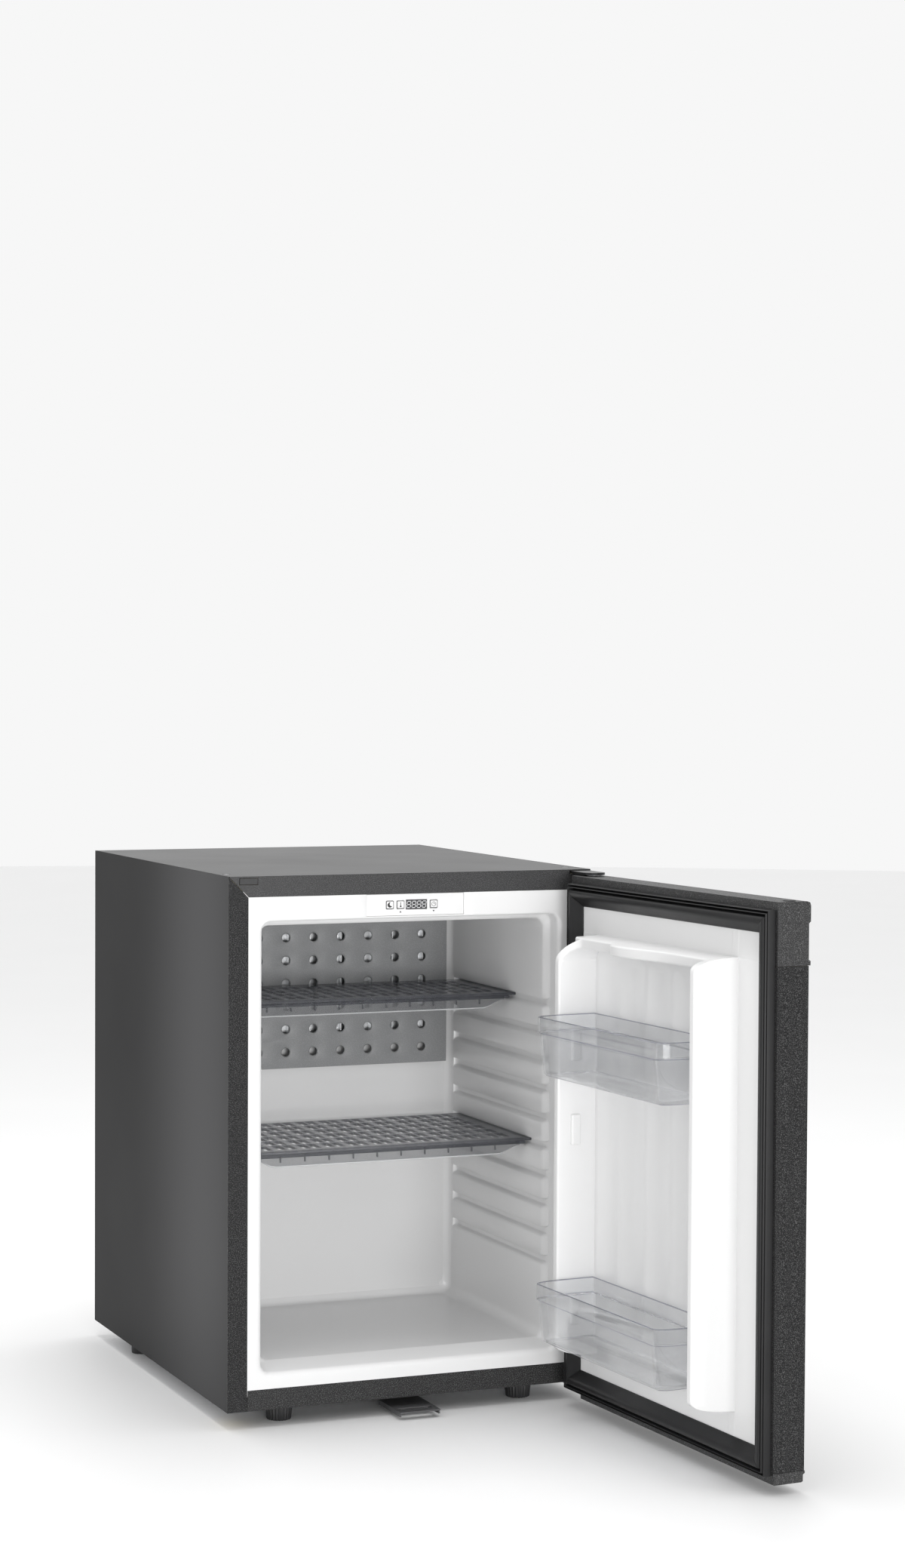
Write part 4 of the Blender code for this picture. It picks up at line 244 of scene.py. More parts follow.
def arc(cx: float, cy: float, radius: float, start: float, end: float, steps: int) -> Points:
    """Points of a circle's part: centre + radius * (cos t, sin t), with t even between two angles.

    Args:
        cx, cy: centre.
        radius: the circle's radius.
        start, end: first and last angle in degrees.
        steps: count of faces between them.

    Returns:
        Array of shape (steps + 1, 2).
    """
    t = np.radians(np.linspace(start, end, steps + 1))
    return np.stack([cx + radius * np.cos(t), cy + radius * np.sin(t)], -1)


def rounded(left: float, low: float, right: float, high: float, radius: float, steps: int = 6) -> Points:
    """Outline of a rectangle with quarter circles for corners, anticlockwise from its lower right.

    Args:
        left, low, right, high: the sides.
        radius: corner radius.
        steps: faces in each corner.

    Returns:
        Array of shape (4 * (steps + 1), 2).
    """
    corners = ((right - radius, low + radius, -90), (right - radius, high - radius, 0),
               (left + radius, high - radius, 90), (left + radius, low + radius, 180))
    return np.concatenate([arc(x, y, radius, start, start + 90, steps) for x, y, start in corners])


def in_plane(flat: Points, axis: str, place: float) -> Points:
    """Lift flat points into space: their two numbers are the axes left over, in the order x, y, z.

    Args:
        flat: array whose last axis holds two numbers.
        axis: the axis square to the plane.
        place: where the plane stands on it.

    Returns:
        The same array with three numbers on its last axis.
    """
    numbers = [flat[..., 0], flat[..., 1]]
    numbers.insert("xyz".index(axis), np.full(flat.shape[:-1], place))
    return np.stack(numbers, -1)


def mesh_lines(first: Points, second: Points) -> Points:
    """All crossings of two sets of lines, as an array of shape (first, second, 2)."""
    return np.stack(np.meshgrid(first, second, indexing="ij"), -1)


def pad(shell: Shell, low: Triple, high: Triple, radius: float, axis: str = "y", steps: int = 4) -> None:
    """Add a block with rounded corners and softened faces: its outline shrinks by the same radius at both ends.

    The outline at distance d from an end, for d from 0 to the radius, is drawn in by
    radius - sqrt(radius^2 - (radius - d)^2).

    Args:
        shell: what the block is added to.
        low: lowest corner.
        high: highest corner.
        radius: rounding of all edges.
        axis: direction along which the outline is carried.
        steps: stations in each rounding.
    """
    spot = "xyz".index(axis)
    rest = [i for i in range(3) if i != spot]
    start, end = low[spot], high[spot]
    turn = np.radians(np.linspace(0, 90, steps + 1))
    inset = radius * (1 - np.sin(turn))
    places = np.concatenate([start + radius * (1 - np.cos(turn)), end - radius * (1 - np.cos(turn[::-1]))])
    insets = np.concatenate([inset, inset[::-1]])
    rows = []
    for place, drawn in zip(places, insets):
        outline = rounded(low[rest[0]] + drawn, low[rest[1]] + drawn, high[rest[0]] - drawn, high[rest[1]] - drawn,
                          max(radius * CORNER_SPARE - drawn, LEAST_RADIUS), steps)
        rows.append(in_plane(outline, axis, place))
    shell.grid(np.stack(rows), around=True, ends=True)


def tube(shell: Shell, path: Points, radius: Points, sides: int = 24) -> None:
    """Add a round tube along a path, closed at both ends.

    Each ring is centre + radius * (cos t * across + sin t * up), where across and up are square to the
    path's direction and carried on from ring to ring by taking away their part along it.

    Args:
        shell: what the tube is added to.
        path: centres of the rings, shape (count, 3).
        radius: one radius for each ring.
        sides: faces around.
    """
    ahead = np.gradient(path, axis=0)
    ahead /= np.linalg.norm(ahead, axis=1, keepdims=True)
    up = np.array([0.0, 0.0, 1.0]) if abs(ahead[0, 2]) < 0.9 else np.array([1.0, 0.0, 0.0])
    across = []
    for direction in ahead:
        up = up - direction * np.dot(up, direction)
        up = up / np.linalg.norm(up)
        across.append(up)
    first = np.stack(across)
    second = np.cross(ahead, first)
    t = np.linspace(0, 2 * np.pi, sides, endpoint=False)
    ring = np.cos(t)[None, :, None] * first[:, None, :] + np.sin(t)[None, :, None] * second[:, None, :]
    shell.grid(path[:, None, :] + radius[:, None, None] * ring, around=True, ends=True)


def turned(shell: Shell, centre: Triple, profile: Sequence[tuple[float, float]], axis: str = "z",
           sides: int = 40, ribs: int = 0, depth: float = 0.0) -> None:
    """Add a turned form: each profile pair (radius, height) becomes a ring about an axis through a centre.

    With ribs, the radius is lessened by depth * (0.5 - 0.5 cos(ribs * t)) where the radius exceeds twice the depth.

    Args:
        shell: what the form is added to.
        centre: point on the axis at height 0.
        profile: radii and heights.
        axis: direction of the heights.
        sides: faces around.
        ribs: count of ribs around.
        depth: depth of the hollows between ribs.
    """
    t = np.linspace(0, 2 * np.pi, sides, endpoint=False)
    rows = []
    spot = "xyz".index(axis)
    rest = [i for i in range(3) if i != spot]
    for radius, height in profile:
        size = radius - depth * (0.5 - 0.5 * np.cos(ribs * t)) * (radius > 2 * depth)
        row = np.zeros((sides, 3))
        row[:, spot] = centre[spot] + height
        row[:, rest[0]] = centre[rest[0]] + size * np.cos(t)
        row[:, rest[1]] = centre[rest[1]] + size * np.sin(t)
        rows.append(row)
    shell.grid(np.stack(rows), around=True, ends=True)


Number = Union[float, "Level"]


def operator(operation: str, swapped: bool = False) -> Callable[["Level", Number], "Level"]:
    """A method that adds a Math node to a level and another number.

    Args:
        operation: what the node does.
        swapped: whether the other number comes first.

    Returns:
        The method.
    """
    def method(self: "Level", other: Number) -> "Level":
        """The node's result."""
        return self.graph.math(operation, *((other, self) if swapped else (self, other)))

    return method


class Level:
    """A number that varies over a surface, with arithmetic that adds Math nodes."""

    __add__, __radd__ = operator("ADD"), operator("ADD", True)
    __sub__, __rsub__ = operator("SUBTRACT"), operator("SUBTRACT", True)
    __mul__, __rmul__ = operator("MULTIPLY"), operator("MULTIPLY", True)

    def __init__(self, graph: "Graph", socket: bpy.types.NodeSocket) -> None:
        """Wrap an output socket.

        Args:
            graph: the material's graph.
            socket: the output that gives the number.
        """
        self.graph = graph
        self.socket = socket

    def above(self, edge: float, softness: float) -> "Level":
        """A smooth step from 0 to 1 about an edge.

        Args:
            edge: the middle of the step.
            softness: half of the step's width.

        Returns:
            The stepped number.
        """
        node = self.graph.node("ShaderNodeMapRange", {"interpolation_type": "SMOOTHSTEP"}, {
            "Value": self, "From Min": edge - softness, "From Max": edge + softness, "To Min": 0.0, "To Max": 1.0})
        return Level(self.graph, node.outputs["Result"])


class Graph:
    """The node tree of one finish."""

    def __init__(self, name: str) -> None:
        """Make a material.

        Args:
            name: the finish's name.
        """
        self.material = bpy.data.materials.new(name + "_finish")
        self.material.use_nodes = True
        self.tree = self.material.node_tree
        self.shader = self.tree.nodes["Principled BSDF"]

    def node(self, kind: str, settings: Optional[dict] = None, inputs: Optional[dict] = None) -> bpy.types.Node:
        """Add a node, set what it is, then give its sockets values or links.

        Args:
            kind: the node's type.
            settings: settings such as an operation.
            inputs: sockets by name or index, each with a number, colour, Level or output socket.

        Returns:
            The node.
        """
        node = self.tree.nodes.new(kind)
        for key, value in (settings or {}).items():
            setattr(node, key, value)
        for key, value in (inputs or {}).items():
            self.join(node.inputs[key], value)
        return node

    def join(self, socket: bpy.types.NodeSocket, value: object) -> None:
        """Give a socket a link or a plain value.

        Args:
            socket: the input socket.
            value: a Level, an output socket, or a plain value.
        """
        if isinstance(value, Level):
            self.tree.links.new(value.socket, socket)
        elif isinstance(value, bpy.types.NodeSocket):
            self.tree.links.new(value, socket)
        else:
            socket.default_value = value

    def math(self, operation: str, first: Number, second: Number) -> Level:
        """One Math node.

        Args:
            operation: what it does.
            first: its first number.
            second: its second number.

        Returns:
            The result.
        """
        node = self.node("ShaderNodeMath", {"operation": operation}, {0: first, 1: second})
        return Level(self, node.outputs[0])

    def place(self, scale: Triple = (1.0, 1.0, 1.0)) -> bpy.types.NodeSocket:
        """Object coordinates, scaled by a factor for each axis."""
        coordinate = self.node("ShaderNodeTexCoord")
        mapping = self.node("ShaderNodeMapping", None, {"Vector": coordinate.outputs["Object"], "Scale": scale})
        return mapping.outputs["Vector"]

    def noise(self, size: float, detail: float = 2.0, vector: Optional[bpy.types.NodeSocket] = None) -> Level:
        """Noise between 0 and 1 whose grains have a size in metres.

        Args:
            size: width of a grain.
            detail: count of finer layers.
            vector: coordinates, or None for plain ones.

        Returns:
            The noise.
        """
        node = self.node("ShaderNodeTexNoise", None, {
            "Vector": vector or self.place(), "Scale": 1.0 / size, "Detail": detail, "Roughness": 0.55})
        return Level(self, node.outputs["Fac"])

    def cells(self, size: float) -> Level:
        """Distance from the middle of cells whose width is a size in metres."""
        node = self.node("ShaderNodeTexVoronoi", None, {"Vector": self.place(), "Scale": 1.0 / size})
        return Level(self, node.outputs["Distance"])

    def blend(self, factor: Number, low: Union[Triple, bpy.types.NodeSocket], high: Triple) -> bpy.types.NodeSocket:
        """A colour between two, through a Mix node.

        Args:
            factor: 0 gives the first colour and 1 the second.
            low: first colour, or the output that gives it.
            high: second colour.

        Returns:
            The colour output.
        """
        first = low if isinstance(low, bpy.types.NodeSocket) else (*low, 1.0)
        node = self.node("ShaderNodeMix", {"data_type": "RGBA"}, {0: factor, 6: first, 7: (*high, 1.0)})
        return node.outputs[2]

    def feed(self, **inputs: object) -> None:
        """Give the shader's sockets constants or links, named with underscores for spaces."""
        for socket, value in inputs.items():
            self.join(self.shader.inputs[socket.replace("_", " ")], value)

    def relief(self, height: Level, depth: float, strength: float = 1.0, edges: float = 0.0) -> None:
        """Bump the surface.

        Args:
            height: 0 to 1.
            depth: height in metres that 1 stands for.
            strength: share of the bump that shows.
            edges: radius in metres by which sharp edges look rounded, or 0.
        """
        inputs = {"Height": height, "Distance": depth, "Strength": strength}
        if edges:
            soft = self.node("ShaderNodeBevel", {"samples": 4}, {"Radius": edges})
            inputs["Normal"] = soft.outputs["Normal"]
        bump = self.node("ShaderNodeBump", None, inputs)
        self.feed(Normal=bump.outputs["Normal"])


@dataclass(frozen=True)
class Surface(ABC):
    """What every finish has: its name, which for most is also a slot's name in the record, and its colour."""

    name: str
    colour: Triple

    def material(self) -> bpy.types.Material:
        """Make the material.

        Returns:
            The material.
        """
        graph = Graph(self.name)
        self.fill(graph)
        return graph.material

    def shade(self, factor: float, lift: float = 0.0) -> Triple:
        """The colour times a factor, with a lift added to every channel."""
        return tuple(factor * c + lift for c in self.colour)

    @abstractmethod
    def fill(self, graph: Graph) -> None:
        """Set the shader's constants and add what varies.

        Args:
            graph: the finish's node tree.
        """


@dataclass(frozen=True)
class PaintedSteel(Surface):
    """Baked paint on sheet steel, with fine peel and optional speckle.

    Fields are the gloss, grain width and height in metres, how much grains glint, the rounding of edges, the
    refractive index that sets how much the film mirrors, and the y in front of which alone the grains glint, or
    None for everywhere.
    """

    roughness: float
    grain: float = 0.0012
    relief: float = 0.00003
    speckle: float = 0.0
    edge: float = 0.0006
    bend: float = 1.5
    front: Optional[float] = None

    def fill(self, graph: Graph) -> None:
        """Mix cloud and grain into the tone, and lay the glinting grains over it."""
        graph.feed(IOR=self.bend)
        peel = graph.noise(self.grain, 3.0)
        cloud = graph.noise(0.16, 2.0)
        tone = 0.75 * cloud + 0.25 * graph.noise(self.grain * 0.7, 1.0)
        colour = graph.blend(tone, self.shade(0.86), self.shade(1.14))
        rough = self.roughness - 0.05 + 0.10 * cloud
        if self.speckle:
            spots = graph.noise(self.grain, 1.0).above(0.59, 0.08)
            if self.front is not None:
                split = graph.node("ShaderNodeSeparateXYZ", None, {0: graph.place()})
                spots = spots * (1.0 - Level(graph, split.outputs["Y"]).above(self.front, 0.0002))
            colour = graph.blend(spots, colour, self.shade(1.0, self.speckle))
            rough = rough - 0.12 * spots
        graph.feed(Base_Color=colour, Roughness=rough)
        graph.relief(peel, self.relief, 0.6, self.edge)


@dataclass(frozen=True)
class MouldedPlastic(Surface):
    """Formed or moulded plastic: one colour, gloss, a low ripple from the sheet, and faint wear in the gloss.

    Fields are the gloss, ripple and grain widths and heights in metres, the rounding of edges, and how much the
    gloss varies.
    """

    roughness: float
    ripple: float = 0.012
    ripple_depth: float = 0.00006
    grain: float = 0.0
    grain_depth: float = 0.00002
    edge: float = 0.0008
    wear: float = 0.06

    def fill(self, graph: Graph) -> None:
        """Set colour and gloss, and add wear and relief where the finish has them."""
        graph.feed(IOR=1.49, Base_Color=(*self.colour, 1.0), Roughness=self.roughness)
        height = graph.noise(self.ripple, 1.0)
        if self.wear:
            graph.feed(Roughness=self.roughness + self.wear * (graph.noise(0.02, 1.0) - 0.5))
        if self.grain:
            height = height + self.grain_depth / self.ripple_depth * graph.noise(self.grain, 2.0)
        graph.relief(height, self.ripple_depth, 0.7, self.edge)


@dataclass(frozen=True)
class ClearPlastic(Surface):
    """See-through moulded plastic, thin and clear face on, with painted lines on the edges marked by the attribute
    edge.

    Fields are how much of what lies behind is covered face on, the share of light let into the body, the colour
    painted on the marked edges, and the gloss. That colour is painted light: it stands for the lines that refraction
    and reflection draw at edges.
    """

    cover: float
    through: float
    edge: Triple
    roughness: float = 0.04

    def fill(self, graph: Graph) -> None:
        """Cover more where the surface turns away and on marked edges, and paint the edge colour on the marked edges
        as painted light.
        """
        graph.feed(IOR=1.49, Transmission_Weight=self.through)
        haze = graph.noise(0.012, 3.0)
        line = Level(graph, graph.node("ShaderNodeAttribute", {"attribute_name": "edge"}).outputs["Fac"])
        turned_away = Level(graph, graph.node("ShaderNodeLayerWeight", None, {"Blend": 0.5}).outputs["Facing"])
        solid = turned_away.above(0.84, 0.14)
        body = graph.blend(haze, self.shade(0.90), self.colour)
        cover = self.cover + 0.08 * haze + (0.75 - self.cover) * solid
        # Marked edges take the edge colour: painted light in place of the lines that refraction and reflection make
        # at edges.
        graph.feed(Base_Color=graph.blend(line, body, self.edge), Roughness=self.roughness + 0.05 * haze,
                   Alpha=cover + line * (0.9 - cover))
        graph.relief(graph.noise(0.010, 1.0), 0.00003, 0.4)


@dataclass(frozen=True)
class ZincSteel(Surface):
    """Galvanised steel sheet: flat crystals, with their width in metres, that differ in shade and gloss."""

    crystal: float = 0.009

    def fill(self, graph: Graph) -> None:
        """Shade and roughen the steel by its crystals."""
        graph.feed(Metallic=0.9)
        warp = graph.noise(0.004, 1.0)
        tone = 0.5 * graph.cells(self.crystal) + 0.5 * graph.noise(self.crystal * 0.8, 2.0)
        graph.feed(Base_Color=graph.blend(tone, self.shade(0.78), self.colour),
                   Roughness=0.34 + 0.22 * tone + 0.04 * warp)
        graph.relief(warp, 0.00002, 0.4, 0.0004)


@dataclass(frozen=True)
class BareMetal(Surface):
    """Plated or milled metal with fine drawn lines along the axes whose factor in `lines` is smallest."""

    roughness: float
    lines: Triple = (1.0, 1.0, 12.0)
    edge: float = 0.0003

    def fill(self, graph: Graph) -> None:
        """Mix drawn lines and stains."""
        graph.feed(Metallic=1.0)
        drawn = graph.noise(0.0012, 3.0, graph.place(self.lines))
        stain = graph.noise(0.02, 3.0)
        graph.feed(Base_Color=graph.blend(0.5 * drawn + 0.5 * stain, self.shade(0.8), self.colour),
                   Roughness=self.roughness - 0.06 + 0.14 * stain)
        graph.relief(drawn, 0.00002, 0.5, self.edge)


@dataclass(frozen=True)
class Rubber(Surface):
    """Extruded or moulded rubber: dark, slightly uneven, with a soft bloom."""

    roughness: float = 0.42

    def fill(self, graph: Graph) -> None:
        """Lighten and dull the rubber by its bloom."""
        graph.feed(IOR=1.30)
        bloom = graph.noise(0.03, 4.0)
        graph.feed(Base_Color=graph.blend(bloom, self.colour, self.shade(1.5, 0.004)),
                   Roughness=self.roughness - 0.06 + 0.14 * bloom)
        graph.relief(graph.noise(0.0009, 2.0), 0.00002, 0.5)


@dataclass(frozen=True)
class Foam(Surface):
    """Rigid foam or lagging: matt, with open cells of a width in metres."""

    cell: float = 0.0016

    def fill(self, graph: Graph) -> None:
        """Darken and sink the cells' middles."""
        graph.feed(IOR=1.4)
        cell = graph.cells(self.cell)
        graph.feed(Base_Color=graph.blend(cell + 0.3 * graph.noise(0.05, 2.0), self.shade(0.7), self.colour),
                   Roughness=0.85 + 0.1 * cell)
        graph.relief(cell, 0.0003, 0.8)


@dataclass(frozen=True)
class CircuitBoard(Surface):
    """Green laminate with lighter tracks."""

    def fill(self, graph: Graph) -> None:
        """Raise and lighten the tracks."""
        graph.feed(IOR=1.5)
        lines = Level(graph, graph.node("ShaderNodeTexWave", {"bands_direction": "DIAGONAL"}, {
            "Vector": graph.place(), "Scale": 160.0, "Distortion": 6.0}).outputs["Fac"]).above(0.7, 0.05)
        graph.feed(Base_Color=graph.blend(lines, self.colour, self.shade(2.2)), Roughness=0.4 - 0.1 * lines)
        graph.relief(lines, 0.00004, 0.6)


class Finish(Enum):
    """Every finish of the fridge. All but the top paint, skirt, hinge, trim and digit bear a slot's name; the top
    paint is the side paint with a lighter colour, painted light for the brighter top.

    The white liner has no wear and one colour, because noise in either shows as squiggles in a denoised preview.
    """

    SIDE_PAINT = PaintedSteel("dark_painted_steel", (0.019, 0.019, 0.0195), 0.46, 0.0008, 0.00005, 0.070,
                              0.0006, 1.13, -0.0288)
    # Painted reflection: the top panel wears a lighter copy of the side paint, 0.030 against 0.019, for the pale
    # surround that the top mirrors at a grazing angle.
    TOP_PAINT_PAINTED_LIT = PaintedSteel("top_steel_painted_lighter", (0.030, 0.030, 0.031), 0.38, 0.0008, 0.00005, 0.070,
                             0.0006, 1.38, -0.0288)
    FRONT_PAINT = PaintedSteel("black_speckled_steel", (0.012, 0.012, 0.0123), 0.52, 0.0008, 0.00010, 0.080,
                               0.0006, 1.35)
    ZINC = ZincSteel("galvanised_steel", (0.52, 0.53, 0.55))
    LINER = MouldedPlastic("white_liner_plastic", (0.78, 0.78, 0.78), 0.28, 0.030, 0.00003, edge=0.0, wear=0.0)
    FOAM = Foam("insulation_foam", (0.78, 0.68, 0.44))
    PLATE = PaintedSteel("grey_coated_plate", (0.25, 0.254, 0.258), 0.42, 0.0009, 0.00003, 0.04)
    ALUMINIUM = BareMetal("plain_aluminium", (0.66, 0.67, 0.68), 0.38)
    # Edge colours are painted light: dark lines on the racks, a highlight on the skirt's lower edge. The shelf pieces
    # in the smoky finish carry no marks, so its bluish highlight colour shows nowhere.
    CLEAR = ClearPlastic("clear_plastic", (0.86, 0.88, 0.91), 0.22, 1.0, (0.16, 0.16, 0.24))
    SMOKY = ClearPlastic("smoky_clear_plastic", (0.10, 0.105, 0.125), 0.62, 0.5, (0.30, 0.32, 0.42), 0.10)
    SKIRT = ClearPlastic("clear_skirt_plastic", (0.22, 0.225, 0.235), 0.42, 0.5, (0.92, 0.93, 0.95), 0.08)
    HINGE = BareMetal("dark_hinge_steel", (0.06, 0.06, 0.062), 0.34)
    TRIM = PaintedSteel("speckled_trim_plastic", (0.009, 0.009, 0.0095), 0.50, 0.0008, 0.00010, 0.085)
    SEAL = Rubber("black_seal_rubber", (0.012, 0.012, 0.0125))
    BLACK = MouldedPlastic("black_plastic", (0.020, 0.020, 0.021), 0.45, 0.02, 0.00002, 0.0007, 0.00004, 0.0005)
    PLATED = BareMetal("plated_steel", (0.60, 0.60, 0.61), 0.30)
    CATCH = PaintedSteel("dark_catch_steel", (0.075, 0.075, 0.078), 0.36, 0.0012, 0.00002, 0.0, 0.0004)
    DISPLAY = MouldedPlastic("dark_display", (0.055, 0.055, 0.058), 0.22, 0.02, 0.00001)
    BOARD = CircuitBoard("circuit_board", (0.02, 0.12, 0.05))
    UNIT_PAINT = PaintedSteel("black_unit_steel", (0.016, 0.016, 0.017), 0.38, 0.002, 0.00005)
    LAGGING = Foam("grey_boiler_lagging", (0.30, 0.30, 0.31), 0.004)
    DIGIT = MouldedPlastic("display_digit", (0.82, 0.83, 0.84), 0.4, 0.01, 0.00001)

    def get(self) -> bpy.types.Material:
        """The material, built the first time it is asked for."""
        if self not in MADE:
            MADE[self] = self.value.material()
        return MADE[self]


MADE: dict[Finish, bpy.types.Material] = {}
SLOT_FINISHES = {finish.value.name: finish for finish in Finish}
NODE_FINISHES = {"top_panel": Finish.TOP_PAINT_PAINTED_LIT, "hinge_plate_top": Finish.HINGE, "hinge_plate_bottom": Finish.HINGE,
                 "door_top_trim": Finish.TRIM, "door_bottom_trim": Finish.TRIM}


class CarriedSolids:
    """The solids whose own shape is shown: each takes the finish of its slot in the record."""

    def __init__(self, nodes: dict[str, bpy.types.Object], record: dict) -> None:
        """Keep the frame's nodes and record.

        Args:
            nodes: the frame's objects by name.
            record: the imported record.
        """
        self.nodes = nodes
        self.record = record

    def dress(self) -> None:
        """Give every solid a procedural finish in place of its plain one."""
        for name, solid in self.nodes.items():
            for slot in solid.material_slots:
                plain = slot.material.name.split(".")[0] if slot.material else ""
                finish = NODE_FINISHES.get(name) or SLOT_FINISHES.get(plain)
                if finish is None:
                    LOG.warning("%s has no finish for %s", name, plain)
                    finish = Finish.BLACK
                slot.material = finish.get()
            LOG.info("solid %s dressed", name)


def ramp(distance: Points, height: float, draft: float, foot: float, crown: float) -> Points:
    """Height over distance for a drafted flank: a foot fillet, a straight flank, and a rounded crown.

    The fillet is foot * (1 - cos a) over foot * sin a, the crown is the same turned round, and the flank
    between them is straight; the table is read by linear interpolation.

    Args:
        distance: distance inside the flank's foot.
        height: full height.
        draft: width of the straight flank.
        foot: radius of the fillet.
        crown: radius of the rounding.

    Returns:
        Heights.
    """
    lean = math.atan2(height, draft)
    a = np.linspace(0, lean, 9)
    low = np.stack([foot * np.sin(a), foot * (1 - np.cos(a))], -1)
    a = a[::-1]
    total = draft + 0.9 * crown + 0.3 * foot
    high = np.stack([total - crown * np.sin(a), height - crown * (1 - np.cos(a))], -1)
    table = np.concatenate([low, high])
    table[:, 0] = np.maximum.accumulate(table[:, 0])
    return np.interp(distance, table[:, 0], table[:, 1], left=0.0, right=height)


def soft_max(first: Points, second: Points, width: float) -> Points:
    """The larger of two heights with a fillet: (a + b + sqrt((a - b)^2 + w^2)) / 2, less what it adds at zero."""
    return (first + second + np.sqrt((first - second) ** 2 + width ** 2) - width) / 2


def soft_min(first: Points, second: Points, width: float) -> Points:
    """The smaller of two heights with a rounding, by the same rule turned round."""
    return (first + second - np.sqrt((first - second) ** 2 + width ** 2) + width) / 2


@dataclass(frozen=True)
class DoorSeal:
    """Moulded seal round the door: two thin lips, a groove, and a broad cushion with a bevel towards the inside.

    Fields are the outer half width, lower and upper edge, width, foot and crown, in the shut door's coordinates,
    and how far to each side of a mitre the ring is repeated and by what share of its height the mitre is sunk.
    """

    half: float = 0.1974
    low: float = 0.0184
    high: float = 0.5488
    width: float = 0.0230
    foot: float = -0.0107
    crown: float = -0.0008
    mitre: float = 0.0004
    mitre_sunk: float = 0.035

    def section(self) -> Points:
        """The seal's section as pairs of distance from the outer edge and height share, from outside inwards.

        Returns:
            Array of shape (count, 2).
        """
        lip = [(0.0, 0.0), (0.0, 0.10), (0.25, 0.62), (0.7, 0.80), (1.1, 0.80), (1.5, 0.60), (1.7, 0.34), (2.2, 0.28)]
        ridge = [(2.6, 0.34), (2.8, 0.66), (3.2, 0.90), (3.7, 0.93), (4.2, 0.80), (4.5, 0.50), (4.9, 0.36),
                 (5.6, 0.34)]
        cushion = [(6.0, 0.46), (6.4, 0.80), (7.0, 0.96), (8.0, 1.0), (12.0, 1.0), (13.2, 0.97), (15.0, 0.82),
                   (19.0, 0.42), (21.0, 0.25), (22.2, 0.16), (22.8, 0.10), (23.0, 0.0)]
        pairs = np.array(lip + ridge + cushion)
        pairs[:, 0] *= self.width / pairs[-1, 0]
        return pairs

    def build(self) -> None:
        """Carry the section round the door: point = corner drawn in by the section's distance, y by its height.

        Next to each mitre the ring is repeated a little to either side, and at the mitre it is sunk slightly.
        """
        pairs = self.section()
        inset, share = pairs[:, 0], pairs[:, 1]
        corners = ((1, -1, (-1, 0), (0, 1)), (1, 1, (0, -1), (-1, 0)),
                   (-1, 1, (1, 0), (0, -1)), (-1, -1, (0, 1), (1, 0)))
        rows = []
        for side, end, before, after in corners:
            x = side * (self.half - inset)
            z = np.where(end > 0, self.high - inset, self.low + inset)
            for step, sunk in ((before, 0.0), ((0, 0), self.mitre_sunk), (after, 0.0)):
                y = self.foot + (self.crown - self.foot) * np.maximum(share - sunk, 0.0) * (share > 0)
                rows.append(np.stack([x + step[0] * self.mitre, y, z + step[1] * self.mitre], -1))
        shell = Shell(DOOR).grid(np.stack(rows), around=True, along=True)
        shell.settle("seal", "door", Finish.SEAL, 50.0, "door_seal")


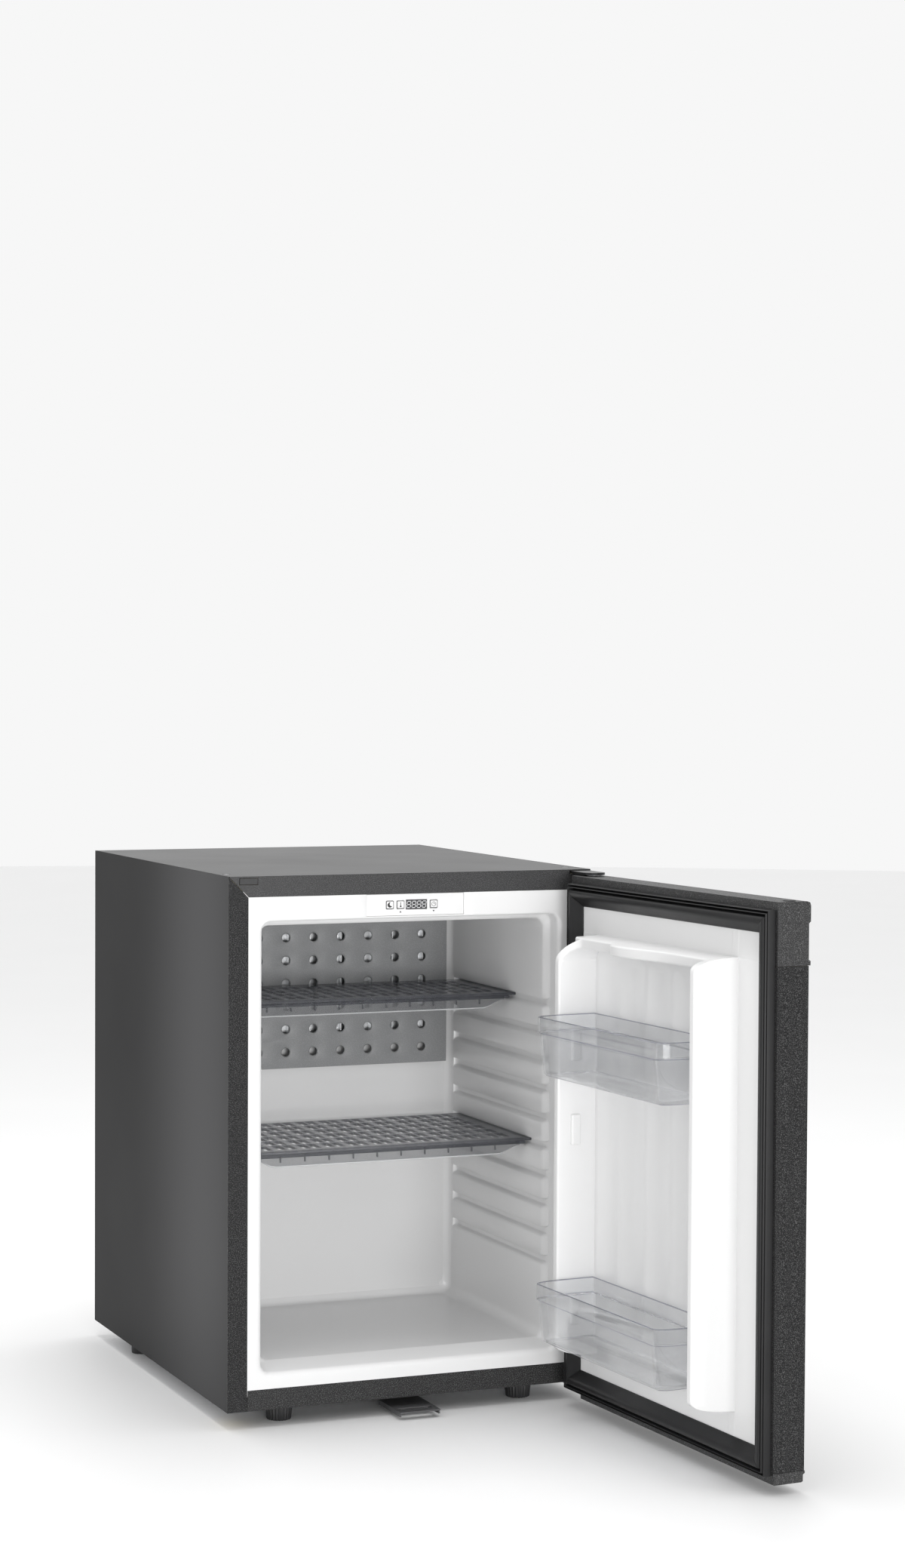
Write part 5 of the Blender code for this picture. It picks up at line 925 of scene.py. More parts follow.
@dataclass(frozen=True)
class DoorLiner:
    """Inner skin of the door as one formed sheet: dams, fluted back, top rail with its lobe, and rack lugs.

    Fields are in the shut door's coordinates: half width and height range of the sheet, its face, both dams'
    outer feet and width, their height range, reach, foot and crown radii, and the rail, lobe, pad, flute and lug
    sizes. `steep` is the share of the lobe's width over which its steep end rises, and `lug` how far a lug stands
    out of the flank and goes into it, its nearest and farthest reach and its height.
    """

    half: float = 0.1917
    low: float = 0.0214
    face: float = -0.0110
    dam_free: float = -0.1337
    dam_hinge: float = 0.1520
    dam_width: float = 0.0144
    dam_low: float = 0.0654
    dam_high: float = 0.4997
    dam_reach: float = 0.0500
    draft: float = 0.0026
    foot: float = 0.0012
    crown: float = 0.0024
    end_round: float = 0.0150
    rail: float = 0.0150
    rail_reach: float = 0.0280
    lobe_reach: float = 0.0400
    lobe_width: float = 0.1200
    lobe_start: float = 0.0620
    steep: float = 0.22
    ring_round: float = 0.0280
    plateau: float = 0.0010
    plateau_margin: float = 0.0090
    back_pad: float = 0.0060
    flute_width: float = 0.0455
    flute_ridge: float = 0.0060
    flute_depth: float = 0.0025
    lug_tops: tuple[float, ...] = (0.4027, 0.1302, 0.3160)
    lug: tuple[float, float, float, float, float] = (0.0022, 0.0030, 0.0220, 0.0330, 0.0320)

    def lines(self) -> tuple[Points, Points]:
        """Grid lines across and up: even ones, and closer ones over each flank, flute and end.

        Returns:
            Sorted x and z values.
        """
        fine = np.concatenate([np.linspace(-0.001, 0.0064, 15), [0.0072]])
        free, hinge = self.dam_free, self.dam_hinge
        x = [np.linspace(-self.half, self.half, 60), free + fine, free + self.dam_width - fine,
             hinge - fine, hinge - self.dam_width + fine, np.linspace(hinge - self.ring_round, hinge, 24),
             self.lobe_start - self.lobe_width * self.steep * (1 - np.cos(np.linspace(0, np.pi / 2, 10)))]
        x += [start + self.flute_width * np.linspace(0, 1, 9) for start in self.flutes()]
        reach = self.end_round * (1 - np.cos(np.radians(np.linspace(0, 90, 14))))
        z = [np.linspace(self.low, self.top(), 90), np.linspace(self.dam_high - self.ring_round, self.dam_high, 24),
             self.dam_low - 0.002 + reach, self.dam_high + 0.002 - reach, self.dam_high - self.rail + fine[:14],
             self.dam_high - fine, self.pad_low() + fine[:14]]
        return tuple(np.array(sorted(set(np.round(np.concatenate(values), 5)))) for values in (x, z))

    def top(self) -> float:
        """Upper edge of the sheet, where the solid's is."""
        return round(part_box("door_liner")[1].z, 5)

    def pad_low(self) -> float:
        """Lower edge of the raised back between the dams."""
        return self.dam_low + self.end_round - self.rail / 2

    def flutes(self) -> list[float]:
        """Left edges of the hollow bands."""
        left, right = self.dam_free + self.dam_width - 0.001, self.dam_hinge - self.dam_width + 0.001
        pitch = self.flute_width + self.flute_ridge
        count = int((right - left) // pitch)
        start = (left + right - count * pitch + self.flute_ridge) / 2
        return [start + index * pitch for index in range(count)]

    def heights(self, x: Points, z: Points) -> Points:
        """Height of the sheet above its base.

        Each form is the smaller of a ramp across and a ramp up, and forms are joined by the larger with a
        fillet. The flutes take depth * sin(pi * share) from the pad. The hinge side's dam turns into the rail
        round a quarter circle and its reach falls to the rail's on the way. The lobe starts as a quarter of an
        ellipse and dies away as half a cosine.

        Args:
            x: places across.
            z: places up.

        Returns:
            Heights.
        """
        margin = self.plateau_margin
        around = np.minimum(np.minimum(x - self.dam_free + margin, self.dam_hinge + margin - x),
                            np.minimum(z - self.dam_low + margin, self.dam_high + margin - z))
        total = ramp(around, self.plateau, 0.0014, 0.0006, 0.0006)
        over_x = self.ring_round - (self.dam_hinge - x)
        over_z = z - self.dam_high + self.ring_round
        ring = np.where((over_x > 0) & (over_z > 0), self.ring_round - np.hypot(over_x, over_z),
                        np.minimum(self.dam_hinge - x, self.dam_high - z))
        swing = np.arctan2(np.maximum(over_z, 0), np.maximum(over_x, 0.000001)) / (np.pi / 2)
        swing = np.where(over_z > 0, swing * swing * (3 - 2 * swing), 0)
        beside = np.clip((x - self.dam_free - self.dam_width / 2) / 0.002, 0, 1)
        frame_reach = (self.dam_reach * (1 - swing) + self.rail_reach * swing) * beside
        dams = ((ring, frame_reach, z - self.dam_low),
                (x - self.dam_free, self.dam_reach, np.minimum(z - self.dam_low, self.dam_high - z)))
        for depth, reach, up in dams:
            flank = ramp(np.minimum(depth, self.dam_width - depth), self.dam_reach, self.draft, self.foot, self.crown)
            share = np.clip(1 - up / self.end_round, 0, 1)
            end = self.dam_reach * np.sqrt(np.clip(1 - share ** 2.4, 0, 1)) * (up > 0)
            form = soft_min(flank / self.dam_reach * reach, end, 0.002) * (depth > 0)
            total = soft_max(total, form, 0.001)
        inside = np.minimum(x - self.dam_free - self.dam_width / 2, self.dam_hinge - self.dam_width / 2 - x)
        between = np.clip(inside / 0.002, 0, 1)
        pad_low, pad_high = self.pad_low(), self.dam_high
        pad = ramp(np.minimum(z - pad_low, pad_high - z), self.back_pad, 0.003, 0.001, 0.002) * between
        for start in self.flutes():
            share = np.clip((x - start) / self.flute_width, 0, 1)
            ends = np.clip(np.minimum(z - pad_low - 0.010, pad_high - 0.017 - z) / 0.012, 0, 1)
            pad = pad - self.flute_depth * np.sin(np.pi * share) * ends * ends * (3 - 2 * ends)
        up = np.minimum(z - (self.dam_high - self.rail), self.dam_high - z)
        run = (self.lobe_start - x) / self.lobe_width
        steep = self.steep
        lobe = np.where(run < steep, np.sqrt(np.clip(1 - (1 - np.clip(run, 0, steep) / steep) ** 2, 0, 1)),
                        0.5 + 0.5 * np.cos(np.pi * np.clip((run - steep) / (1 - steep), 0, 1)))
        reach = self.rail_reach + (self.lobe_reach - self.rail_reach) * lobe
        rail = np.minimum(ramp(up, self.rail_reach, 0.0016, 0.0010, 0.0022) / self.rail_reach, 1.0) * reach * between
        total = soft_max(total, pad * (between > 0), 0.0012)
        return soft_max(total, rail, 0.0016)

    def build(self) -> None:
        """Form the sheet over its grid, add the lugs and settle it."""
        x_lines, z_lines = self.lines()
        x, z = np.meshgrid(x_lines, z_lines, indexing="ij")
        shell = Shell(DOOR).grid(np.stack([x, self.face + self.heights(x, z), z], -1))
        shell.settle("door_inner_skin", "door", Finish.LINER, 60.0, "door_liner", wall=SHEET)
        lugs = Shell(DOOR)
        flank_free = self.dam_free + self.dam_width - 0.0014
        flank_hinge = self.dam_hinge - self.dam_width + 0.0014
        proud, sunk, near, far, tall = self.lug
        for top in self.lug_tops:
            for flank, side in ((flank_free, -1), (flank_hinge, 1)):
                ends = sorted((flank - side * proud, flank + side * sunk))
                pad(lugs, (ends[0], self.face + near, top - tall), (ends[1], self.face + far, top), 0.0020, "x")
        lugs.settle("rack_lugs", "door", Finish.LINER, 50.0)


@dataclass(frozen=True)
class DoorRacks:
    """Two clear door racks with a band round the rim and a rounded floor edge.

    Fields are in the shut door's coordinates: sides, back and front, rims, height, wall, band and corner sizes.
    """

    left: float = -0.1185
    right: float = 0.1368
    back: float = -0.0044
    front: float = 0.0670
    rims: tuple[tuple[str, float], ...] = (("rack_upper", 0.4195), ("rack_lower", 0.1470))
    height: float = 0.0610
    wall: float = 0.0020
    band: float = 0.0165
    band_proud: float = 0.0010
    narrow: float = 0.0032
    taper: float = 0.0035
    floor_round: float = 0.0070
    corner_x: float = 0.0110
    corner_y: float = 0.0250
    back_corner: float = 0.0030

    def outline(self, inset: float, side: float, reach: float) -> Points:
        """The rack seen from above: quarter ellipses at the front corners and small arcs at the back ones.

        Args:
            inset: how far the whole outline is drawn in.
            side: how much further both sides are drawn in.
            reach: the front.

        Returns:
            Array of shape (count, 2), anticlockwise from the back's right corner.
        """
        left, right = self.left + side + inset, self.right - side - inset
        back, front = self.back + inset, reach - inset
        t = np.radians(np.linspace(0, 90, 13))
        wide, deep = max(self.corner_x - inset, 0.003), max(self.corner_y - inset, 0.004)
        small = max(self.back_corner - inset, 0.0008)
        right_back = arc(right - small, back + small, small, -90, 0, 4)
        right_front = np.stack([right - wide + wide * np.cos(t), front - deep + deep * np.sin(t)], -1)
        left_front = np.stack([left + wide - wide * np.cos(t[::-1]), front - deep + deep * np.sin(t[::-1])], -1)
        left_back = arc(left + small, back + small, small, 180, 270, 4)
        return np.concatenate([right_back, right_front, left_front, left_back])

    def rows(self, rim: float) -> list[tuple[float, float, float, float]]:
        """Stations of the wall from under the floor, up the outside, over the rim and down the inside.

        Args:
            rim: height of the rim.

        Returns:
            Height, inset, side inset and front reach of each station.
        """
        floor, band = rim - self.height, rim - self.band
        reach, front = self.front, self.front - self.band_proud
        turns = np.radians(np.linspace(0, 90, 7))

        def corner(inset: float, radius: float, angles: Points) -> list[tuple[float, float, float, float]]:
            """Stations round the floor's edge, for a quarter circle drawn in by an inset."""
            return [(floor + inset + radius * (1 - math.cos(turn)), inset + radius * (1 - math.sin(turn)),
                     self.narrow, front - self.taper) for turn in angles]

        stations = [(band - 0.0012, 0.0, self.narrow, front - 0.0002), (band - 0.0003, -0.0001, self.narrow, front),
                    (band, 0.0, 0.0004, reach - 0.0004), (band + 0.0004, 0.0, 0.0, reach),
                    (band + 0.0012, 0.0, 0.0, reach), (rim - 0.0014, 0.0, 0.0, reach),
                    (rim - 0.0003, 0.0002, 0.0, reach), (rim, 0.0006, 0.0, reach),
                    (rim, self.wall - 0.0005, 0.0, reach), (rim - 0.0004, self.wall, 0.0, reach),
                    (rim - 0.0014, self.wall, 0.0, reach), (band + 0.0022, self.wall, 0.0, reach),
                    (band + 0.0010, self.wall, self.narrow, front)]
        return (corner(0.0, self.floor_round, turns) + stations
                + corner(self.wall, self.floor_round - self.wall, turns[::-1]))

    def build(self) -> None:
        """Carry the wall round each rack's outline and close the floor above and below."""
        for name, rim in self.rims:
            stations = self.rows(rim)
            rows = [in_plane(self.outline(inset, side, reach), "z", z) for z, inset, side, reach in stations]
            heights = np.array([station[0] for station in stations])
            outside = np.arange(len(stations)) < len(stations) // 2
            above_floor = heights - rim + self.height
            # Rows at the rim's top, along the band's lower edge and just above the floor are marked for painted dark
            # lines, standing in for the lines refraction draws there.
            lines = (heights > rim - 0.0009) | ((np.abs(heights - rim + self.band) < 0.00045) & outside)
            lines |= (above_floor > 0.0001) & (above_floor < 0.0012) & outside
            marks = np.broadcast_to(lines[:, None], (len(rows), len(rows[0]))).astype(np.float32)
            shell = Shell(DOOR).grid(np.stack(rows), around=True, ends=True)
            shell.settle(name.replace("rack_", "clear_rack_"), name, Finish.CLEAR, 45.0, name, marks=marks)


@dataclass(frozen=True)
class InnerLiner:
    """White tub as one formed sheet: flange, rounded mouth, sloping sill, step, grooved sides and rear wall.

    Fields are in the cabinet's coordinates: flange, mouth, cavity and groove sizes, how long the step is and how
    far grooves open at their front ends, the panel's cut-out, half the width over which the lines across the
    top and bottom are spread, and the insets and corner radii of the flange's three loops.
    """

    flange_half: float = 0.1862
    flange_low: float = 0.0328
    flange_high: float = 0.5467
    front: float = 0.0013
    mouth_x: float = 0.1655
    mouth_low: float = 0.0535
    mouth_high: float = 0.5162
    mouth_radius: float = 0.0110
    edge_side: float = 0.0040
    edge_top: float = 0.0013
    step_y: float = 0.0240
    cavity_x: float = 0.1595
    cavity_low: float = 0.0620
    cavity_high: float = 0.5102
    cavity_radius: float = 0.0130
    cavity_back: float = 0.2780
    rear_round: float = 0.0080
    step_run: float = 0.0050
    flare: float = 0.0045
    groove_top: float = 0.4235
    groove_pitch: float = 0.0304
    groove_count: int = 10
    groove_depth: float = 0.0056
    groove_back: float = 0.2700
    cut: tuple[float, float, float, float] = (-0.05235, 0.05615, 0.5176, 0.5403)
    even_half: float = 0.145
    flange_inset: float = 0.006
    mouth_margin: float = 0.003
    flange_corners: tuple[float, float, float] = (0.002, 0.004, 0.014)

    def side_lines(self) -> tuple[Points, Points, Points]:
        """Heights of the lines on a side wall and how deep each lies in a groove.

        Returns:
            Heights from low to high, shares of the groove depth, and the way each line moves where a groove
            flares.
        """
        offsets = np.array([-12.0, -11.0, -10.0, -9.0, -8.2, -7.2, -4.0, -1.2, -0.4, 0.0, 0.4, 1.0]) / 1000
        shares = np.array([0.0, 0.06, 0.26, 0.60, 0.90, 1.0, 1.0, 1.0, 0.88, 0.5, 0.12, 0.0])
        tops = self.groove_top - self.groove_pitch * np.arange(self.groove_count)[::-1]
        heights = (tops[:, None] + offsets[None, :]).ravel()
        plain = np.array([0.086, 0.096, 0.110, 0.124])
        upper = np.array([0.435, 0.445, 0.460, 0.475, 0.490])
        keep = plain < heights[0] - 0.002
        quiet, calm = np.zeros(keep.sum()), np.zeros(len(upper))
        spread = np.clip((offsets + 0.0040) / 0.0030, -1, 1)
        return (np.concatenate([plain[keep], heights, upper]),
                np.concatenate([quiet, np.tile(shares, self.groove_count), calm]),
                np.concatenate([quiet, np.tile(spread, self.groove_count), calm]))

    def low_at(self, depth: float) -> float:
        """Height of the floor's line: the sill slopes straight from the mouth up to the cavity's floor."""
        return float(np.interp(depth, [self.front, self.step_y + 0.001], [self.mouth_low, self.cavity_low]))

    def top_lines(self) -> Points:
        """Places of the lines across the top and bottom, with the panel's cut among them."""
        left, right, end = self.cut[0], self.cut[1], self.even_half
        return np.concatenate([np.linspace(-end, left, 8), np.linspace(left, right, 10)[1:],
                               np.linspace(right, end, 8)[1:]])

    def loop(self, y: float, half: float, low: float, high: float, radius: float, groove: float,
             flare: float = 0.0) -> Points:
        """One station of the tub: up the right side, over the top, down the left side, back along the bottom.

        Args:
            y: depth of the station.
            half: half width.
            low: lowest height.
            high: greatest height.
            radius: corner radius.
            groove: share of the full groove depth at this station.
            flare: how far each groove's upper and lower edges stand apart beyond their usual places.

        Returns:
            Array of shape (count, 3).
        """
        heights, shares, spread = self.side_lines()
        across = self.top_lines()
        heights = heights + flare * spread
        side = half + self.groove_depth * groove * shares
        right, lower, upper = half - radius, low + radius, high - radius
        parts = [arc(right, lower, radius, -90, 0, 6), np.stack([side, heights], -1),
                 arc(right, upper, radius, 0, 90, 6), np.stack([across[::-1], np.full(len(across), high)], -1),
                 arc(-right, upper, radius, 90, 180, 6), np.stack([-side[::-1], heights[::-1]], -1),
                 arc(-right, lower, radius, 180, 270, 6), np.stack([across, np.full(len(across), low)], -1)]
        return in_plane(np.concatenate(parts), "y", y)

    def stations(self) -> list[Points]:
        """Loops from the flange's outer edge to the rear wall.

        Returns:
            The loops in order.
        """
        inset, margin = self.flange_inset, self.edge_side + self.mouth_margin
        outer, middle, inner = self.flange_corners
        loops = [self.loop(self.front, self.flange_half, self.flange_low, self.flange_high, outer, 0.0),
                 self.loop(self.front, self.flange_half - inset, self.flange_low + inset, self.cut[3], middle, 0.0),
                 self.loop(self.front, self.mouth_x + margin, self.mouth_low - margin, self.cut[2], inner, 0.0)]
        for turn in np.radians(np.linspace(0, 90, 7)):
            out = 1 - math.sin(turn)
            depth = self.front + self.edge_side * (1 - math.cos(turn))
            loops.append(self.loop(depth, self.mouth_x + self.edge_side * out,
                                   self.low_at(depth) - self.edge_side * out * 0.8,
                                   self.mouth_high + self.edge_top * out, self.mouth_radius + self.edge_side * out,
                                   0.0, self.flare))
        side, top = self.mouth_x - self.cavity_x, self.mouth_high - self.cavity_high
        for depth in np.linspace(-1, 1, 15) * self.step_run:
            along = depth / self.step_run
            share = 0.5 + 0.5 * math.sin(math.pi / 2 * along)
            flare = self.flare * (1 - math.sqrt(1 - (0.5 - 0.5 * along) ** 2))
            place = self.step_y + depth
            loops.append(self.loop(place, self.mouth_x - side * share, min(self.low_at(place), self.cavity_low),
                                   self.mouth_high - top * share, self.mouth_radius, share, flare))
        for depth in np.linspace(self.step_y + 0.012, self.groove_back - 0.010, 14):
            loops.append(self.loop(depth, self.cavity_x, self.cavity_low, self.cavity_high, self.cavity_radius, 1.0))
        for turn in np.radians(np.linspace(15, 90, 6)):
            loops.append(self.loop(self.groove_back - 0.007 + 0.007 * math.sin(turn), self.cavity_x, self.cavity_low,
                                   self.cavity_high, self.cavity_radius, math.cos(turn)))
        for turn in np.radians(np.linspace(0, 90, 6)[1:]):
            drawn = self.rear_round * (1 - math.cos(turn))
            loops.append(self.loop(self.cavity_back - self.rear_round * (1 - math.sin(turn)), self.cavity_x - drawn,
                                   self.cavity_low + drawn, self.cavity_high - drawn,
                                   self.cavity_radius - drawn, 0.0))
        return loops

    def rear_wall(self, shell: Shell, rear: Points) -> None:
        """Close the rear wall inside the last loop: a plain grid on the loop's own lines, and a face in each corner.

        Args:
            shell: the tub so far, whose last points are the loop.
            rear: the last loop, shape (count, 3).
        """
        heights, across = self.side_lines()[0], self.top_lines()
        tall, wide, start = len(heights), len(across), shell.count - len(rear)
        half, low, high = rear[:, 0].max(), rear[:, 2].min(), rear[:, 2].max()
        keep = np.ones((wide + 1, tall + 1), bool)
        keep[[0, 0, -1, -1], [0, -1, 0, -1]] = False
        inner = shell.count
        lines = mesh_lines(np.array([-half, *across, half]), np.array([low, *heights, high]))
        shell.grid(in_plane(lines, "y", self.cavity_back), keep=keep, flip=True)
        bend = (len(rear) - 2 * tall - 2 * wide) // 4
        corners = ((0, wide, 1), (bend + tall, wide, tall), (2 * bend + tall + wide, 1, tall),
                   (3 * bend + 2 * tall + wide, 1, 1))
        for first, column, row in corners:
            edge = [start + index % len(rear) for index in range(first - 1, first + bend + 1)]
            shell.caps.append(edge + [inner + column * (tall + 2) + row])

    def build(self) -> None:
        """Join the loops, leave out the panel's cut, close the rear wall and settle the tub."""
        loops = np.stack(self.stations())
        left, right, low, high = self.cut
        beside = np.roll(loops, -1, 1)
        middle = (loops[:-1] + loops[1:] + beside[:-1] + beside[1:]) / 4
        inside = (middle[..., 0] > left) & (middle[..., 0] < right) & (middle[..., 2] > low) & (middle[..., 2] < high)
        inside[3:] = False
        shell = Shell(CABINET).grid(loops, around=True, keep=~inside, flip=True)
        self.rear_wall(shell, loops[-1])
        shell.settle("tub", "cabinet", Finish.LINER, 50.0, "inner_liner", wall=SHEET)


@dataclass(frozen=True)
class Shelves:
    """Two smoky shelves: a slotted plate, a front bar, and a clear skirt with small ribs.

    Fields are in the cabinet's coordinates: half width at the grooves and between the walls, the back edge,
    each shelf's name, depth and plate height, and the bar, skirt and slot sizes. The small ribs behind the skirt
    have a half width, a reach from the front and a height from the top.
    """

    half: float = 0.1638
    inner: float = 0.1571
    back: float = 0.2610
    plate: float = 0.0030
    shelves: tuple[tuple[str, float, float], ...] = (("shelf_upper", 0.1530, 0.4158), ("shelf_lower", 0.1970, 0.2638))
    bar: float = 0.0036
    bar_width: float = 0.0060
    skirt: float = 0.0125
    skirt_wall: float = 0.0018
    skirt_run: float = 0.0260
    pitch: float = 0.0270
    slot: float = 0.0200
    pitch_y: float = 0.0305
    slot_y: float = 0.0250
    slot_rib: float = 0.0030
    rib_half: float = 0.0006
    rib_reach: tuple[float, float] = (0.0006, 0.0028)
    rib_height: tuple[float, float] = (0.0085, 0.0010)

    def columns(self) -> int:
        """Count of slots across a shelf."""
        return int(2 * (self.inner - self.bar_width) // self.pitch)

    def plate_grid(self, shell: Shell, front: float, low: float) -> None:
        """The slotted plate: a grid whose lines run along the slots' sides, with the quads in the slots left out.

        Args:
            shell: what the plate is added to.
            front: the shelf's front edge.
            low: the plate's underside.
        """
        first = front + 2 * self.bar_width
        columns = self.columns()
        rows = int((self.back - first) // self.pitch_y)
        x_mid = (np.arange(columns) - (columns - 1) / 2) * self.pitch
        y_mid = first + (np.arange(rows) + 0.5) * self.pitch_y
        rib = self.slot_rib
        x = np.sort(np.concatenate([[-self.half, self.half, -self.inner, self.inner], x_mid - self.slot / 2,
                                    x_mid + self.slot / 2, x_mid - rib / 2, x_mid + rib / 2]))
        y = np.sort(np.concatenate([[front, front + self.bar_width, self.back], y_mid - self.slot_y / 2,
                                    y_mid + self.slot_y / 2]))
        off_x = np.abs((x[:-1] + x[1:])[:, None] / 2 - x_mid)
        off_y = np.abs((y[:-1] + y[1:])[:, None] / 2 - y_mid)
        in_x = ((off_x < self.slot / 2) & (off_x > rib / 2)).any(-1)
        in_y = (off_y < self.slot_y / 2).any(-1)
        shell.grid(in_plane(mesh_lines(x, y), "z", low + self.plate), keep=~(in_x[:, None] & in_y))

    def skirt_grid(self, shell: Shell, front: float, top: float) -> Points:
        """The skirt: a sheet whose lower edge rises to the bar at both ends by (1 - cos(pi * share)) / 2.

        Args:
            shell: what the skirt is added to.
            front: its front face.
            top: its upper edge.

        Returns:
            A mark for each point: 1 on the lower edge's bead, which takes a painted highlight.
        """
        end, bend = self.inner - 0.006, self.inner - self.skirt_run
        x = np.concatenate([np.linspace(-end, -bend + 0.006, 14), np.linspace(-bend + 0.010, bend - 0.010, 30),
                            np.linspace(bend - 0.006, end, 14)])
        share = np.clip((np.abs(x) - self.inner + self.skirt_run + 0.006) / self.skirt_run, 0, 1)
        low = top - self.skirt + (self.skirt - 0.0035) * (1 - np.cos(np.pi * share)) / 2
        wall = self.skirt_wall
        # The third number marks the bead along the lower edge for a painted highlight.
        section = [(0.0, 0.0, 0), (0.0, 0.86, 0), (-0.0003, 0.89, 1), (-0.0006, 0.93, 1), (-0.0003, 0.98, 1),
                   (0.0006, 1.0, 1), (wall, 0.97, 0), (wall, 0.0, 0)]
        shell.strip([in_plane(np.stack([x, top + (low - top) * share], -1), "y", front + y)
                     for y, share, _ in section])
        return np.repeat([float(mark) for _, _, mark in section], len(x)).astype(np.float32)

    def build(self) -> None:
        """Build both shelves."""
        for name, depth, low in self.shelves:
            front = self.back - depth
            top = low + self.plate
            plate = Shell(CABINET)
            self.plate_grid(plate, front, low)
            plate.settle(name + "_plate", name, Finish.SMOKY, 35.0, name, bevel=0.0005, wall=self.plate)
            trim = Shell(CABINET)
            pad(trim, (-self.inner, front + 0.0002, top - self.bar),
                (self.inner, front + self.bar_width, top - 0.0002), 0.0016, "x")
            for index in range(self.columns() + 1):
                x = (index - self.columns() / 2) * self.pitch
                if abs(x) < self.inner - self.skirt_run:
                    pad(trim, (x - self.rib_half, front + self.rib_reach[0], top - self.rib_height[0]),
                        (x + self.rib_half, front + self.rib_reach[1], top - self.rib_height[1]), 0.0003, "z", 2)
            trim.settle(name + "_bar", name, Finish.SMOKY, 40.0)
            skirt = Shell(CABINET)
            # The marked lower edge takes the skirt finish's near-white edge colour, a painted highlight.
            marks = self.skirt_grid(skirt, front + self.bar_width / 2, top - 0.0015)
            skirt.settle(name + "_skirt", name, Finish.SKIRT, 40.0, slot=Finish.SMOKY.value.name, marks=marks)


@dataclass(frozen=True)
class ControlFace:
    """Printed marks and display digits on the control panel.

    Fields are in the cabinet's coordinates: the panel's middle and face, the buttons' face, the display's middle,
    the digits' size, pitch, stroke, tips and slant, how far a print stands out and goes in, and the buttons' places.
    """

    middle: float = 0.52895
    face: float = 0.0007
    button_face: float = 0.0001
    display: float = 0.0032
    digit_width: float = 0.0040
    digit_height: float = 0.0066
    digit_pitch: float = 0.0057
    stroke: float = 0.00034
    tip: float = 0.00002
    slant: float = 0.12
    proud: float = 0.00004
    sunk: float = 0.0002
    buttons: tuple[tuple[str, float], ...] = (("button_night", -0.0264), ("button_temperature", -0.0146),
                                              ("button_timer", 0.0223))

    def flat(self, shell: Shell, inner: Points, outer: Points, face: float, around: bool = False) -> None:
        """A thin print between two lines of matching points, slightly proud of a face.

        Args:
            shell: what the print is added to.
            inner: first line, shape (count, 2).
            outer: second line.
            face: the y of the face it lies on.
            around: whether the lines close on themselves.
        """
        proud, sunk = face - self.proud, face + self.sunk
        corners = ((inner, proud), (outer, proud), (outer, sunk), (inner, sunk))
        shell.strip([in_plane(line, "y", place) for line, place in corners], around)

    def digits(self) -> None:
        """Four seven-segment digits: each segment is a bar with pointed ends."""
        shell = Shell(CABINET)
        wide, tall = self.digit_width / 2, self.digit_height / 2
        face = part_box("display_window")[0].y - CABINET.target[1]
        half = np.array([self.tip, self.stroke, self.stroke, self.tip])
        for index in range(4):
            x0 = self.display + (index - 1.5) * self.digit_pitch
            for z in (-tall, 0.0, tall):
                run = np.array([-wide + 0.0003, -wide + 0.0006, wide - 0.0006, wide - 0.0003])
                lean = self.slant * z
                self.flat(shell, *(np.stack([x0 + run + lean, self.middle + z + edge], -1)
                                   for edge in (-half, half)), face)
            for side in (-1, 1):
                for end in (-1, 1):
                    run = np.array([0.0003, 0.0006, tall - 0.0006, tall - 0.0003]) * end
                    spine = x0 + side * wide + self.slant * run
                    self.flat(shell, *(np.stack([spine + edge, self.middle + run], -1)
                                       for edge in (-half, half)), face)
        shell.settle("display_digits", "cabinet", Finish.DIGIT, 30.0, slot=Finish.DISPLAY.value.name)

    def icons(self) -> None:
        """A moon, a thermometer and a clock on the buttons, each in a thin square, and two small triangles."""
        z, face = self.middle, self.button_face
        for name, x in self.buttons:
            shell = Shell(CABINET)
            square = rounded(x - 0.0041, z - 0.0041, x + 0.0041, z + 0.0041, 0.0010)
            inner = rounded(x - 0.0034, z - 0.0034, x + 0.0036, z + 0.0036, 0.0006)
            self.flat(shell, inner, square, face, around=True)
            if name == "button_night":
                self.flat(shell, arc(x + 0.0016, z + 0.0008, 0.0020, 110, 300, 20),
                          arc(x, z, 0.0027, 82, 308, 20), face)
            elif name == "button_temperature":
                self.flat(shell, arc(x, z - 0.0017, 0.0001, 0, 360, 16),
                          arc(x, z - 0.0017, 0.0009, 0, 360, 16), face)
                stem = np.array([[x - 0.00035, z - 0.0012], [x - 0.00035, z + 0.0026]])
                self.flat(shell, stem, stem + np.array([0.0007, 0.0]), face)
            else:
                self.flat(shell, arc(x, z, 0.0020, 0, 360, 32), arc(x, z, 0.0024, 0, 360, 32), face)
                hand = np.array([[x - 0.0002, z - 0.0001], [x - 0.0002, z + 0.0016]])
                self.flat(shell, hand, hand + np.array([0.0004, 0.0]), face)
                self.flat(shell, np.array([[x, z - 0.0002], [x + 0.0013, z - 0.0002]]),
                          np.array([[x, z + 0.0002], [x + 0.0013, z + 0.0002]]), face)
            shell.settle(name + "_mark", name, Finish.BLACK, 30.0)
        shell = Shell(CABINET)
        z = self.middle - 0.0072
        for (_, x), rise in zip(self.buttons[1:], (0.0009, -0.0009)):
            base = np.array([[x - 0.0011, z - rise], [x + 0.0011, z - rise]])
            tip = np.array([[x - 0.00005, z + rise], [x + 0.00005, z + rise]])
            self.flat(shell, base, tip, self.face)
        shell.settle("panel_marks", "cabinet", Finish.BLACK, 30.0)

    def build(self) -> None:
        """Build digits and marks."""
        self.digits()
        self.icons()


